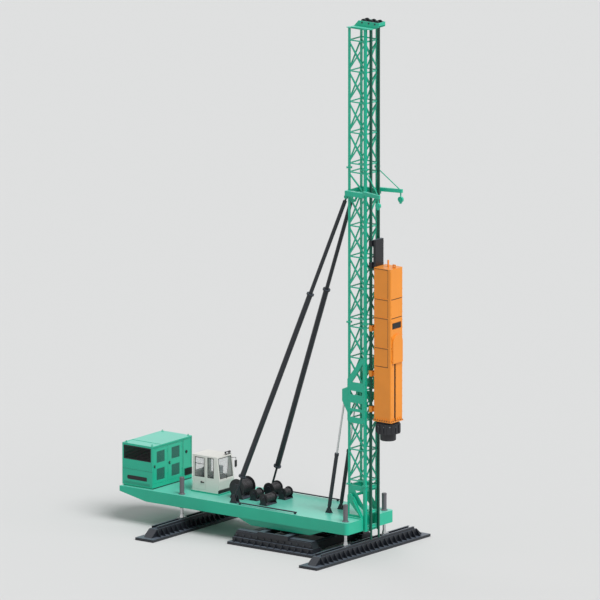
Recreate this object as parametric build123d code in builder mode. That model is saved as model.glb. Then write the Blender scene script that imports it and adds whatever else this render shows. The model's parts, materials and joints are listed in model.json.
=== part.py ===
# Walking pile driving rig: a long platform on four leg cylinders, which stand on a front and a
# rear cross pad, with a slewing centre foot between them. A lattice mast with two guide tubes
# stands at the front on a hinge, held by two long stays and two erecting cylinders, and carries
# a hydraulic hammer. Millimetres, +X towards the hammer, +Z up, ground at Z = 0.
from build123d import *
import os
from math import atan2, degrees, hypot

os.makedirs("parts", exist_ok=True)

# Stations along the rig: the origin is midway between the platform's rear and the hammer's front
overall_length = 15280.0
leg_front_setback = 13310.0
leg_spacing_x = 9800.0
slew_setback = 3780.0
platform_rear_x = -overall_length / 2
hammer_front_x = overall_length / 2
leg_front_x = platform_rear_x + leg_front_setback
leg_rear_x = leg_front_x - leg_spacing_x
slew_x = leg_front_x - slew_setback
sides = (("right", -1), ("left", 1))

# Platform
platform_width = 3760.0
platform_depth = 580.0
deck_z = 1780.0
nose_reach = 340.0
nose_corner_radius = 180.0
nose_recess_half_width = 600.0
nose_recess_depth = 380.0
tail_length = 1600.0
tail_depth = 260.0
belly_depth = 340.0
belly_length = 3500.0
belly_slope_run = 950.0
belly_width = 3400.0
platform_bottom_z = deck_z - platform_depth
belly_z = platform_bottom_z - belly_depth
platform_front_x = leg_front_x + nose_reach

# Pipes along the deck edges
rail_radius = 34.0
rail_height = 95.0
rail_inset = 170.0
rail_rear_setback = 6300.0
rail_length = 3500.0
rail_post_length = 100.0
rail_post_width = 55.0

# Leg cylinders and their trolleys
leg_y = 1545.0
sleeve_radius = 115.0
sleeve_above_deck = 830.0
sleeve_below_platform = 60.0
sleeve_cap_thickness = 50.0
sleeve_hole_gap = 1.0
leg_rod_radius = 75.0
leg_rod_clearance = 3.0
leg_rod_engagement = 900.0
leg_ball_radius = 115.0
leg_ball_height = 150.0
leg_ball_taper = 12.0
trolley_length = 520.0
trolley_gap = 6.0
trolley_neck_rise = 50.0

# Ribbed beams of the pads
plate_thickness = 130.0
rib_thickness = 30.0
rib_height = 350.0
rib_edge = 45.0

# Cross pads under the legs
pad_length = 9100.0
pad_width = 1070.0
pad_height = 600.0
pad_beam_width = 460.0
pad_beam_top = 485.0
pad_end_setback = 280.0
pad_end_slope_run = 430.0
pad_channel_width = 300.0
pad_channel_wall = 40.0
pad_channel_half_length = 3700.0
pad_lip_gap = 200.0
pad_lip_thickness = 24.0
pad_rib_count = 22
pad_rib_pitch = 365.0

# Centre foot and the carriage that slews on it
foot_length = 5050.0
foot_track = 4010.0
pontoon_width = 1150.0
pontoon_height = 680.0
pontoon_base_width = 700.0
pontoon_base_top = 350.0
pontoon_beam_width = 460.0
pontoon_rail_width = 380.0
pontoon_rail_height = 55.0
pontoon_end_slope_run = 160.0
foot_rib_count = 12
foot_rib_pitch = 400.0
roller_height = 440.0
roller_length = 120.0
roller_depth = 90.0
roller_width = 40.0
foot_tie_width = 320.0
foot_tie_top = 510.0
foot_tie_offset = 1850.0
carriage_gap = 8.0
carriage_bar_width = 340.0
carriage_bar_offset = 740.0
carriage_bar_thickness = 100.0
carriage_body_low_z = 535.0
carriage_body_radius = 1020.0
carriage_bore_radius = 600.0
carriage_guide_width = 70.0
carriage_guide_drop = 120.0
ring_radius = 950.0
ring_bore_radius = 700.0
ring_gap = 6.0

# Mast lattice
chord_spacing = 950.0
mast_rear_offset = -580.0
rear_chord_size = 92.0
front_chord_size = 124.0
brace_size = 56.0
brace_end_rise = 90.0
panel_pitch = 1500.0
joint_half_gap = 215.0
joint_flange_size = 200.0
joint_flange_thickness = 30.0
base_joint_z = 3370.0
lower_panels = 5
middle_panels = 4
collar_panel = 1120.0
top_panels = 4
top_end_gap = 635.0
mast_rear_x = leg_front_x + mast_rear_offset
mast_front_x = mast_rear_x + chord_spacing
chord_y = chord_spacing / 2

# Guide tubes in front of the lattice, each welded to a neck plate
guide_radius = 51.0
guide_spacing = 600.0
guide_standoff = 230.0
guide_bottom_z = 750.0
guide_neck_width = 40.0
guide_neck_length = 110.0
guide_plate_thickness = 30.0
guide_x = mast_front_x + guide_standoff
guide_y = guide_spacing / 2

# Mast hinge and its deck brackets
hinge_x = mast_rear_x + 160.0
hinge_z = 2800.0
hinge_pin_radius = 70.0
hinge_pin_clearance = 0.5
hinge_boss_radius = 140.0
bracket_y = 620.0
bracket_thickness = 60.0
bracket_top_width = 380.0
bracket_foot_length = 880.0
bracket_front_height = 160.0
bracket_rim = 90.0
bracket_sole_height = 50.0
bracket_rib_size = 50.0

# Mast base below the first joint
mast_foot_z = 1150.0
mast_post_size = 140.0
mast_cheek_thickness = 50.0
cheek_boss_radius = 125.0
cheek_band_height = 250.0
cheek_rim = 90.0
base_beam_width = 110.0

# Lugs and pins of the stays and erecting cylinders
lug_pin_radius = 40.0
lug_pin_clearance = 0.5
lug_thickness = 35.0
lug_pin_end = 15.0
open_pin_clearance = 26.0

# Erecting cylinders
erector_y = 480.0
erector_foot_x = leg_front_x - 1790.0
erector_foot_z = deck_z + 170.0
erector_top_x = leg_front_x - 850.0
erector_top_z = 7500.0
erector_barrel_radius = 92.0
erector_barrel_length = 2850.0
erector_head_length = 120.0
erector_neck_length = 160.0
erector_neck_width = 130.0
erector_head_step = 14.0
erector_rod_radius = 48.0
erector_rod_clearance = 3.0
erector_rod_inside = 700.0
erector_bore_reserve = 300.0
erector_eye_radius = 80.0
erector_eye_width = 70.0
erector_lug_gap = 8.0

# Slotted plates on the mast sides that take the erecting cylinders
side_plate_thickness = 30.0
side_plate_low_z = 6400.0
side_plate_high_z = 8400.0
side_plate_arm_top_z = 9600.0
side_plate_arm_width = 240.0
side_plate_corner = 120.0
side_plate_lug_half_height = 620.0
side_plate_lug_reach = 90.0
side_plate_slot_length = 700.0
side_plate_slots = ((6830.0, 280.0), (7250.0, 280.0), (7880.0, 190.0))

# Long stays from the mast collar to the deck
stay_foot_x = leg_front_x - 6670.0
stay_foot_y = 1480.0
stay_foot_z = deck_z + 300.0
stay_top_x = leg_front_x - 910.0
stay_top_y = 250.0
stay_top_z = 17330.0
stay_rod_radius = 52.0
stay_rod_clearance = 3.0
stay_rod_visible = 1060.0
stay_rod_inside = 900.0
stay_bore_reserve = 560.0
stay_lower_radius = 132.0
stay_lower_length = 9950.0
stay_upper_radius = 95.0
stay_neck_length = 220.0
stay_flange_radius = 185.0
stay_flange_thickness = 70.0
stay_eye_radius = 100.0
stay_eye_width = 90.0
stay_lug_gap = 60.0

# Stay collar and its hoisting arms
collar_beam_size = 170.0
collar_beam_height = 240.0
collar_drop = 20.0
collar_rear_thickness = 60.0
gusset_thickness = 30.0
gusset_drop = 430.0
gusset_foot_half_width = 110.0
gusset_hole_radius = 95.0
gusset_hole_drop = 210.0
arm_y = 900.0
arm_tip_x = leg_front_x + 1540.0
arm_rise = 140.0
arm_height = 180.0
arm_root_width = 170.0
arm_tip_width = 110.0
arm_tie_size = 34.0
arm_tie_top_z = 18720.0
block_setback = 90.0
block_radius = 140.0
block_thickness = 110.0
block_drop = 330.0
block_shank_length = 40.0
block_shank_width = 60.0
block_hook_length = 80.0
block_hook_height = 120.0

# Mast head
head_plate_thickness = 40.0
head_plate_rear_inset = 130.0
head_plate_overhang = 60.0
head_cheek_y = 260.0
head_front_x = leg_front_x + 980.0
head_front_low = 60.0
head_top_rise = 330.0
head_rear_run = 260.0
head_cross_width = 80.0
head_cross_height = 160.0
head_sheave_rise = 210.0
sheave_radius = 160.0
sheave_thickness = 80.0
sheave_setbacks = (200.0, 560.0, 960.0)
sheave_axle_radius = 40.0

# Hydraulic hammer
hammer_depth = 1020.0
hammer_width = 940.0
hammer_corner = 90.0
hammer_low_z = 6650.0
hammer_high_z = 14150.0
hammer_seam_depth = 16.0
hammer_seam_height = 40.0
hammer_seams = (9310.0, 10290.0, 11750.0, 12670.0)
hammer_panel_depth = 14.0
hammer_panel_margin = 50.0
hammer_panel_front_margin = 170.0
hammer_strip_z = 11200.0
hammer_strip_width = 720.0
hammer_strip_height = 330.0
hammer_cover_low_z = 9550.0
hammer_cover_height = 1000.0
hammer_cover_width = 760.0
hammer_cover_depth = 80.0
hammer_slot_y = -135.0
hammer_slot_width = 130.0
hammer_slot_depth = 60.0
hammer_flange_height = 60.0
hammer_flange_reach = 50.0
hammer_rib_height = 210.0
hammer_rib_width = 30.0
hammer_rib_pitch = 140.0
hammer_rib_count = 6
hammer_stub_height = 350.0
hammer_stub_radius = 45.0
hammer_lug_setback = 150.0
hammer_lug_height = 170.0
hammer_lug_thickness = 50.0
hammer_lug_hole_radius = 45.0
hammer_rear_x = hammer_front_x - hammer_cover_depth - hammer_depth
hammer_axis_x = hammer_rear_x + hammer_depth / 2

# Drive cap under the hammer
helmet_apothem = 555.0
helmet_height = 590.0
helmet_neck_radius = 470.0
helmet_ring_height = 90.0
helmet_rib_height = 400.0
helmet_rib_spacing = 230.0
helmet_rib_size = 60.0
anvil_radius = 383.0
anvil_height = 360.0
anvil_chamfer = 25.0
pile_socket_radius = 310.0
pile_socket_depth = 250.0

# Hammer guide shoes, the spine that carries them and the slide frame above the hammer
slide_frame_width = 620.0
slide_frame_depth = 150.0
slide_frame_low_z = 13950.0
slide_frame_high_z = 15450.0
slide_wall = 40.0
spine_width = 500.0
spine_low_rise = 250.0
lower_shoe_levels = (7170.0, 8910.0, 11120.0)
upper_shoe_levels = (14200.0, 15270.0)
shoe_height = 280.0
shoe_clearance = 7.0
shoe_slot = 76.0
shoe_half_width = 95.0
shoe_rear = 78.0
shoe_front = 95.0
shoe_bar_height = 160.0

# Power pack
pack_rear_gap = 10.0
pack_length = 1810.0
pack_width = 3150.0
pack_middle_y = -90.0
pack_height = 2100.0
pack_wall = 35.0
pack_skid_height = 45.0
pack_skid_inset = 40.0
pack_roof_recess_width = 720.0
pack_roof_recess_depth = 15.0
pack_roof_rim = 40.0
pack_door_width = 1120.0
pack_door_height = 1740.0
pack_door_sill = 230.0
pack_door_side = 70.0
pack_door_pitch = 1185.0
pack_door_gap = 8.0
pack_door_thickness = 35.0
pack_handle_offset = 95.0
pack_handle_radius = 40.0
pack_handle_reach = 30.0
louvre_width = 630.0
louvre_height = 560.0
louvre_offset_y = 30.0
louvre_offset_z = 425.0
louvre_depth = 22.0
louvre_back = 6.0
louvre_slats = 9
louvre_slat_share = 0.5
vent_middle_y = 2840.0
vent_middle_z = 400.0
vent_length = 560.0
vent_height = 330.0
port_middle_y = 2690.0
port_middle_z = 1390.0
port_radius = 55.0
radiator_width = 1640.0
radiator_height = 680.0
radiator_top_gap = 100.0
radiator_frame = 40.0
radiator_slats = 9
radiator_slat_height = 22.0
name_recess_length = 1250.0
name_recess_height = 210.0
name_recess_depth = 12.0
name_recess_z = 440.0
engine_size = (1000.0, 1900.0, 1250.0)
engine_rear_offset = 60.0
hinge_rod_radius = 12.0
hinge_rod_gap = 1.0
hinge_knuckle_length = 60.0
pack_knuckle_inset = 330.0
cab_knuckle_inset = 250.0

# Cab
cab_rear_setback = 9800.0
cab_base_height = 60.0
cab_base_margin = 50.0
cab_length = 1610.0
cab_width = 1180.0
cab_middle_y = -110.0
cab_height = 1770.0
cab_wall = 45.0
cab_sill = 600.0
cab_toe = 60.0
cab_brow = 150.0
cab_glass = 8.0
cab_window_rise = 110.0
cab_window_head = 70.0
cab_pillar = 80.0
cab_rear_window_width = 780.0
cab_rear_window_rise = 200.0
cab_left_window_length = 1050.0
cab_front_side_window_gap = 120.0
cab_front_side_window_length = 370.0
cab_door_width = 700.0
cab_door_rear_gap = 80.0
cab_door_sill = 90.0
cab_door_height = 1580.0
cab_door_gap = 8.0
cab_door_frame = 65.0
cab_handle_length = 170.0
cab_handle_height = 34.0
cab_handle_reach = 35.0
cab_handle_drop = 150.0
cab_low_z = deck_z + cab_base_height

# Operator's seat and desk
seat_setback = 560.0
seat_post_size = 260.0
seat_post_height = 330.0
seat_half_length = 260.0
seat_half_width = 250.0
seat_cushion = 120.0
seat_back_height = 1060.0
seat_back_thickness = 100.0
desk_reach = 420.0
desk_front_gap = 260.0
desk_low_height = 640.0
desk_high_height = 760.0
desk_half_width = 330.0

# Winches: name, distance behind the front legs, Y of the middle, flange radius, drum length
winches = (
    ("main", 7100.0, -300.0, 450.0, 900.0),
    ("rear_left", 6050.0, 750.0, 325.0, 700.0),
    ("rear_right", 6200.0, -350.0, 250.0, 500.0),
    ("front_right", 5200.0, -775.0, 250.0, 750.0),
    ("front_left", 5250.0, 675.0, 250.0, 550.0),
)
drum_core_share = 0.7
drum_flange_thickness = 30.0
drum_floor_gap = 60.0
drum_side_gap = 10.0
drum_axle_radius = 45.0
drum_axle_clearance = 0.5
drum_axle_end = 30.0
winch_plate_thickness = 35.0
winch_foot_share = 0.85
winch_head_share = 0.45

# Platform: hull, belly under the centre foot and the recess that the mast swings in
with BuildPart() as platform_hull:
    with BuildSketch(Plane.XZ):
        Polygon(
            (platform_rear_x, deck_z),
            (platform_front_x, deck_z),
            (platform_front_x, platform_bottom_z),
            (platform_rear_x + tail_length, platform_bottom_z),
            (platform_rear_x, deck_z - tail_depth),
        )
    extrude(amount=platform_width / 2, both=True)
    nose_edges = platform_hull.edges().filter_by(Axis.Z).group_by(Axis.X)[-1]
    fillet(nose_edges, radius=nose_corner_radius)
    with BuildSketch(Plane.XZ):
        Polygon(
            (slew_x + belly_length / 2 + belly_slope_run, platform_bottom_z),
            (slew_x + belly_length / 2, belly_z),
            (slew_x - belly_length / 2, belly_z),
            (slew_x - belly_length / 2 - belly_slope_run, platform_bottom_z),
        )
    extrude(amount=belly_width / 2, both=True)
    with BuildSketch(Plane.XY.offset(platform_bottom_z)):
        with Locations((platform_front_x - nose_recess_depth / 2, 0)):
            Rectangle(nose_recess_depth, 2 * nose_recess_half_width)
    extrude(amount=platform_depth, mode=Mode.SUBTRACT)
    leg_places = [(x, side * leg_y) for x in (leg_front_x, leg_rear_x) for _, side in sides]
    with BuildSketch(Plane.XY.offset(platform_bottom_z)):
        with Locations(*leg_places):
            Circle(sleeve_radius + sleeve_hole_gap)
    extrude(amount=platform_depth, mode=Mode.SUBTRACT)
    with BuildSketch(Plane.XY.offset(deck_z)):
        with Locations((leg_front_x - cab_rear_setback + cab_length / 2, cab_middle_y)):
            Rectangle(cab_length + 2 * cab_base_margin, cab_width + 2 * cab_base_margin)
    extrude(amount=cab_base_height)
platform_hull.part.label = "platform_hull"
export_step(platform_hull.part, "parts/platform_hull.step")

# Pipes on short posts along both deck edges
with BuildPart() as deck_edge_pipes:
    rail_x = leg_front_x - rail_rear_setback
    post_inset = rail_post_length
    for name, side in sides:
        rail_y = side * (platform_width / 2 - rail_inset)
        with BuildSketch(Plane.YZ.offset(rail_x)):
            with Locations((rail_y, deck_z + rail_height)):
                Circle(rail_radius)
        extrude(amount=rail_length)
        post_places = [(rail_x + post_inset, rail_y), (rail_x + rail_length - post_inset, rail_y)]
        with BuildSketch(Plane.XY.offset(deck_z)):
            with Locations(*post_places):
                Rectangle(rail_post_length, rail_post_width)
        extrude(amount=rail_height)
deck_edge_pipes.part.label = "deck_edge_pipes"
export_step(deck_edge_pipes.part, "parts/deck_edge_pipes.step")

# Leg barrels: closed at the top, open below
sleeve_top_z = deck_z + sleeve_above_deck
sleeve_low_z = platform_bottom_z - sleeve_below_platform
with BuildPart() as leg_sleeves:
    with BuildSketch(Plane.XY.offset(sleeve_low_z)):
        with Locations(*leg_places):
            Circle(sleeve_radius)
    extrude(amount=sleeve_top_z - sleeve_low_z)
    with BuildSketch(Plane.XY.offset(sleeve_low_z)):
        with Locations(*leg_places):
            Circle(leg_rod_radius + leg_rod_clearance)
    extrude(amount=sleeve_top_z - sleeve_cap_thickness - sleeve_low_z, mode=Mode.SUBTRACT)
leg_sleeves.part.label = "leg_sleeves"
export_step(leg_sleeves.part, "parts/leg_sleeves.step")

# Leg rods, each with its ball seat and the trolley that runs in the pad's channel
shoe_low_z = pad_beam_top + trolley_gap
shoe_high_z = pad_height - pad_lip_thickness - trolley_gap
neck_top_z = pad_height + trolley_neck_rise
neck_half = pad_lip_gap / 2 - 2 * trolley_gap
shoe_half = pad_channel_width / 2 - trolley_gap
for place, leg_x in (("front", leg_front_x), ("rear", leg_rear_x)):
    for side_name, side in sides:
        with BuildPart() as leg_rod:
            with BuildSketch(Plane.XY.offset(neck_top_z)):
                with Locations((leg_x, side * leg_y)):
                    Circle(leg_rod_radius)
            extrude(amount=platform_bottom_z + leg_rod_engagement - neck_top_z)
            with BuildSketch(Plane.XY.offset(neck_top_z)):
                with Locations((leg_x, side * leg_y)):
                    Circle(leg_ball_radius)
            extrude(amount=leg_ball_height, taper=leg_ball_taper)
            with BuildSketch(Plane.XY.offset(shoe_low_z)):
                with Locations((leg_x, side * leg_y)):
                    Rectangle(2 * shoe_half, trolley_length)
            extrude(amount=shoe_high_z - shoe_low_z)
            with BuildSketch(Plane.XY.offset(shoe_high_z)):
                with Locations((leg_x, side * leg_y)):
                    Rectangle(2 * neck_half, trolley_length)
            extrude(amount=neck_top_z - shoe_high_z)
        leg_rod.part.label = f"leg_rod_{place}_{side_name}"
        export_step(leg_rod.part, f"parts/leg_rod_{place}_{side_name}.step")

# Cross pads: base plate, ribbed beam with sloped ends, and the trolley channel on its top
for pad_name, pad_x in (("front_pad", leg_front_x), ("rear_pad", leg_rear_x)):
    beam_half = pad_length / 2 - pad_end_setback
    rib_reach = pad_width / 2 - rib_edge
    with BuildPart() as pad:
        with BuildSketch():
            with Locations((pad_x, 0)):
                Rectangle(pad_width, pad_length)
        extrude(amount=plate_thickness)
        with BuildSketch(Plane.YZ.offset(pad_x)):
            Polygon(
                (-beam_half, plate_thickness),
                (beam_half, plate_thickness),
                (beam_half - pad_end_slope_run, pad_beam_top),
                (pad_end_slope_run - beam_half, pad_beam_top),
            )
        extrude(amount=pad_beam_width / 2, both=True)
        for n in range(pad_rib_count):
            rib_y = (n - (pad_rib_count - 1) / 2) * pad_rib_pitch
            with BuildSketch(Plane.XZ.offset(-rib_y)):
                Polygon(
                    (pad_x - rib_reach, plate_thickness),
                    (pad_x + rib_reach, plate_thickness),
                    (pad_x + pad_beam_width / 2, plate_thickness + rib_height),
                    (pad_x - pad_beam_width / 2, plate_thickness + rib_height),
                )
            extrude(amount=rib_thickness / 2, both=True)
        with BuildSketch(Plane.XZ):
            with Locations((pad_x, (pad_beam_top + pad_height) / 2)):
                Rectangle(pad_channel_width + 2 * pad_channel_wall, pad_height - pad_beam_top)
            with Locations((pad_x, (pad_beam_top + pad_height - pad_lip_thickness) / 2)):
                Rectangle(
                    pad_channel_width,
                    pad_height - pad_lip_thickness - pad_beam_top,
                    mode=Mode.SUBTRACT,
                )
            with Locations((pad_x, pad_height)):
                Rectangle(pad_lip_gap, 2 * pad_lip_thickness, mode=Mode.SUBTRACT)
        extrude(amount=pad_channel_half_length, both=True)
    pad.part.label = pad_name
    export_step(pad.part, f"parts/{pad_name}.step")

# Centre foot: two ribbed pontoons along the rig, with rollers on their sides, on low cross beams
with BuildPart() as centre_foot:
    beam_half = foot_length / 2 - pad_end_setback / 2
    rail_low_z = pontoon_height - pontoon_rail_height
    rib_reach = pontoon_width / 2 - rib_edge
    foot_stations = [slew_x + (n - (foot_rib_count - 1) / 2) * foot_rib_pitch for n in range(foot_rib_count)]
    for name, side in sides:
        pontoon_y = side * foot_track / 2
        with BuildSketch():
            with Locations((slew_x, pontoon_y)):
                Rectangle(foot_length, pontoon_width)
        extrude(amount=plate_thickness)
        with BuildSketch(Plane.XY.offset(plate_thickness)):
            with Locations((slew_x, pontoon_y)):
                Rectangle(2 * beam_half, pontoon_base_width)
        extrude(amount=pontoon_base_top - plate_thickness)
        with BuildSketch(Plane.XZ.offset(-pontoon_y)):
            Polygon(
                (slew_x - beam_half, pontoon_base_top),
                (slew_x + beam_half, pontoon_base_top),
                (slew_x + beam_half - pontoon_end_slope_run, rail_low_z),
                (slew_x - beam_half + pontoon_end_slope_run, rail_low_z),
            )
        extrude(amount=pontoon_beam_width / 2, both=True)
        with BuildSketch(Plane.XY.offset(rail_low_z)):
            with Locations((slew_x, pontoon_y)):
                Rectangle(2 * (beam_half - pontoon_end_slope_run), pontoon_rail_width)
        extrude(amount=pontoon_rail_height)
        for station_x in foot_stations:
            with BuildSketch(Plane.YZ.offset(station_x)):
                Polygon(
                    (pontoon_y - rib_reach, plate_thickness),
                    (pontoon_y + rib_reach, plate_thickness),
                    (pontoon_y + pontoon_base_width / 2, pontoon_base_top),
                    (pontoon_y - pontoon_base_width / 2, pontoon_base_top),
                )
            extrude(amount=rib_thickness / 2, both=True)
        with BuildSketch(Plane.XY.offset(roller_height - roller_depth / 2)):
            with Locations(*[(station_x, pontoon_y) for station_x in foot_stations]):
                Rectangle(roller_length, pontoon_beam_width + 2 * roller_width)
        extrude(amount=roller_depth)
    for offset_x in (-foot_tie_offset, foot_tie_offset):
        with BuildSketch(Plane.XZ):
            with Locations((slew_x + offset_x, (plate_thickness + foot_tie_top) / 2)):
                Rectangle(foot_tie_width, foot_tie_top - plate_thickness)
        extrude(amount=foot_track / 2, both=True)
centre_foot.part.label = "centre_foot"
export_step(centre_foot.part, "parts/centre_foot.step")

# Slewing ring under the belly, and the carriage below it that rides on the pontoons
bar_low_z = pontoon_height + carriage_gap
bar_high_z = bar_low_z + carriage_bar_thickness
with BuildPart() as slew_ring:
    with BuildSketch(Plane.XY.offset(bar_high_z + ring_gap)):
        with Locations((slew_x, 0)):
            Circle(ring_radius)
            Circle(ring_bore_radius, mode=Mode.SUBTRACT)
    extrude(amount=belly_z - bar_high_z - ring_gap)
slew_ring.part.label = "slew_ring"
export_step(slew_ring.part, "parts/slew_ring.step")

with BuildPart() as slew_carriage:
    bar_half = (foot_track + pontoon_beam_width) / 2
    guide_inner_y = bar_half + carriage_gap
    bar_places = [(slew_x - carriage_bar_offset, 0), (slew_x + carriage_bar_offset, 0)]
    with BuildSketch(Plane.XY.offset(carriage_body_low_z)):
        with Locations((slew_x, 0)):
            Circle(carriage_body_radius)
    extrude(amount=bar_high_z - carriage_body_low_z)
    with BuildSketch(Plane.XY.offset(bar_low_z)):
        with Locations(*bar_places):
            Rectangle(carriage_bar_width, 2 * (guide_inner_y + carriage_guide_width))
    extrude(amount=carriage_bar_thickness)
    with BuildSketch(Plane.XY.offset(bar_low_z - carriage_guide_drop)):
        for name, side in sides:
            with Locations((slew_x, side * (guide_inner_y + carriage_guide_width / 2))):
                Rectangle(2 * carriage_bar_offset + carriage_bar_width, carriage_guide_width)
    extrude(amount=carriage_bar_thickness + carriage_guide_drop)
    with BuildSketch(Plane.XY.offset(carriage_body_low_z)):
        with Locations((slew_x, 0)):
            Circle(carriage_bore_radius)
    extrude(amount=bar_high_z - carriage_body_low_z, mode=Mode.SUBTRACT)
slew_carriage.part.label = "slew_carriage"
export_step(slew_carriage.part, "parts/slew_carriage.step")

# Mast hinge brackets: sloped plates on the deck with a triangular window and an outer rib
bracket_rear_x = hinge_x - hinge_boss_radius
bracket_front_x = bracket_rear_x + bracket_foot_length
bracket_top_x = bracket_rear_x + bracket_top_width
bracket_sole_width = 3 * bracket_thickness
with BuildPart() as mast_brackets:
    for name, side in sides:
        with BuildSketch(Plane.XZ.offset(-side * bracket_y)):
            Polygon(
                (bracket_rear_x, deck_z),
                (bracket_front_x, deck_z),
                (bracket_front_x, deck_z + bracket_front_height),
                (bracket_top_x, hinge_z),
                (bracket_rear_x, hinge_z),
            )
            with Locations((hinge_x, hinge_z)):
                Circle(hinge_boss_radius)
            Polygon(
                (bracket_rear_x + bracket_rim, deck_z + bracket_front_height),
                (bracket_front_x - 2 * bracket_rim, deck_z + bracket_front_height),
                (bracket_rear_x + bracket_rim, hinge_z - 3 * bracket_rim),
                mode=Mode.SUBTRACT,
            )
            with Locations((hinge_x, hinge_z)):
                Circle(hinge_pin_radius + hinge_pin_clearance, mode=Mode.SUBTRACT)
        extrude(amount=bracket_thickness / 2, both=True)
        with BuildSketch(Plane.XZ.offset(-side * (bracket_y + bracket_thickness / 2))):
            Polygon(
                (bracket_top_x, hinge_z - hinge_boss_radius),
                (bracket_top_x - bracket_rib_size, hinge_z - hinge_boss_radius),
                (bracket_front_x - 2 * bracket_rib_size, deck_z + bracket_sole_height),
                (bracket_front_x, deck_z + bracket_sole_height),
            )
        extrude(amount=-side * bracket_rib_size)
        sole_y = side * (bracket_y + (bracket_sole_width - bracket_thickness) / 2)
        with BuildSketch(Plane.XY.offset(deck_z)):
            with Locations(((bracket_rear_x + bracket_front_x) / 2, sole_y)):
                Rectangle(bracket_foot_length, bracket_sole_width)
        extrude(amount=bracket_sole_height)
mast_brackets.part.label = "mast_hinge_brackets"
export_step(mast_brackets.part, "parts/mast_hinge_brackets.step")

# Clevises on the deck for the stays and the erecting cylinders, with their pins
clevises = (
    (stay_foot_x, stay_foot_y, stay_foot_z, stay_eye_radius, stay_eye_width / 2 + stay_lug_gap),
    (erector_foot_x, erector_y, erector_foot_z, erector_eye_radius, erector_eye_width / 2 + erector_lug_gap),
)
with BuildPart() as deck_clevises:
    for lug_x, lug_y, lug_z, lug_radius, half_gap in clevises:
        for name, side in sides:
            for ear in (-1, 1):
                ear_y = side * lug_y + ear * (half_gap + lug_thickness / 2)
                with BuildSketch(Plane.XZ.offset(-ear_y)):
                    Polygon(
                        (lug_x - 2 * lug_radius, deck_z),
                        (lug_x + 2 * lug_radius, deck_z),
                        (lug_x + lug_radius, lug_z),
                        (lug_x + lug_radius / 2, lug_z + lug_radius),
                        (lug_x - lug_radius / 2, lug_z + lug_radius),
                        (lug_x - lug_radius, lug_z),
                    )
                extrude(amount=lug_thickness / 2, both=True)
            with BuildSketch(Plane.XY.offset(deck_z)):
                with Locations((lug_x, side * lug_y)):
                    Rectangle(4 * lug_radius, 2 * (half_gap + lug_thickness + lug_pin_end))
            extrude(amount=lug_thickness)
            with BuildSketch(Plane.XZ.offset(-side * lug_y)):
                with Locations((lug_x, lug_z)):
                    Circle(lug_pin_radius)
            extrude(amount=half_gap + lug_thickness + lug_pin_end, both=True)
deck_clevises.part.label = "deck_clevises"
export_step(deck_clevises.part, "parts/deck_clevises.step")

# Mast base: hinge cheeks, the posts that reach down into the nose recess, and the guides' ends
base_top_z = base_joint_z - joint_flange_thickness
band_low_z = base_top_z - cheek_band_height
cheek_rear_x = mast_rear_x - rear_chord_size / 2
post_knee_z = hinge_z - 700.0
chord_places = [(x, y) for x in (mast_rear_x, mast_front_x) for y in (-chord_y, chord_y)]
guide_places = [(guide_x, -guide_y), (guide_x, guide_y)]
neck_places = [(guide_x - guide_neck_length / 2, y) for y in (-guide_y, guide_y)]
with BuildPart() as mast_base:
    with BuildSketch(Plane.XY.offset(mast_foot_z)):
        with Locations((mast_front_x, -chord_y), (mast_front_x, chord_y)):
            Rectangle(mast_post_size, mast_post_size)
    extrude(amount=base_top_z - mast_foot_z)
    with BuildSketch(Plane.XY.offset(base_top_z)):
        with Locations(*chord_places):
            Rectangle(joint_flange_size, joint_flange_size)
    extrude(amount=joint_flange_thickness)
    for name, side in sides:
        with BuildSketch(Plane.XZ.offset(-side * chord_y)):
            Polygon(
                (cheek_rear_x, base_top_z),
                (mast_front_x, base_top_z),
                (mast_front_x, post_knee_z),
                (hinge_x + cheek_rim, hinge_z - 2 * cheek_rim),
                (cheek_rear_x, hinge_z),
            )
            with Locations((hinge_x, hinge_z)):
                Circle(cheek_boss_radius)
            Polygon(
                (hinge_x + 2 * cheek_rim, band_low_z),
                (mast_front_x - cheek_rim, band_low_z),
                (mast_front_x - cheek_rim, post_knee_z + 3 * cheek_rim),
                mode=Mode.SUBTRACT,
            )
        extrude(amount=mast_cheek_thickness / 2, both=True)
    band_mid_z = (band_low_z + base_top_z) / 2
    cross_beams = (
        (mast_front_x, mast_foot_z + 130, 260.0),
        (mast_front_x, post_knee_z - 80, 180.0),
        (mast_front_x, band_mid_z, cheek_band_height),
        (mast_rear_x, band_mid_z, cheek_band_height),
    )
    for beam_x, beam_z, beam_height in cross_beams:
        with BuildSketch(Plane.XZ):
            with Locations((beam_x, beam_z)):
                Rectangle(base_beam_width, beam_height)
        extrude(amount=chord_y, both=True)
    with BuildSketch(Plane.XZ):
        with Locations((hinge_x, hinge_z)):
            Circle(hinge_pin_radius)
    extrude(amount=bracket_y + bracket_thickness / 2 + lug_pin_end, both=True)
    with BuildSketch(Plane.XY.offset(guide_bottom_z)):
        with Locations(*guide_places):
            Circle(guide_radius)
    extrude(amount=base_joint_z - guide_bottom_z)
    with BuildSketch(Plane.XY.offset(mast_foot_z)):
        with Locations(*neck_places):
            Rectangle(guide_neck_length, guide_neck_width)
    extrude(amount=base_joint_z - mast_foot_z)
    for beam_x, beam_z, beam_height in cross_beams[:3]:
        with BuildSketch(Plane.XY.offset(beam_z - guide_plate_thickness / 2)):
            Polygon(
                (mast_front_x, -chord_y),
                (guide_x - guide_neck_length, -guide_y),
                (guide_x - guide_neck_length, guide_y),
                (mast_front_x, chord_y),
            )
        extrude(amount=guide_plate_thickness)
mast_base.part.label = "mast_base"
export_step(mast_base.part, "parts/mast_base.step")

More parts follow.
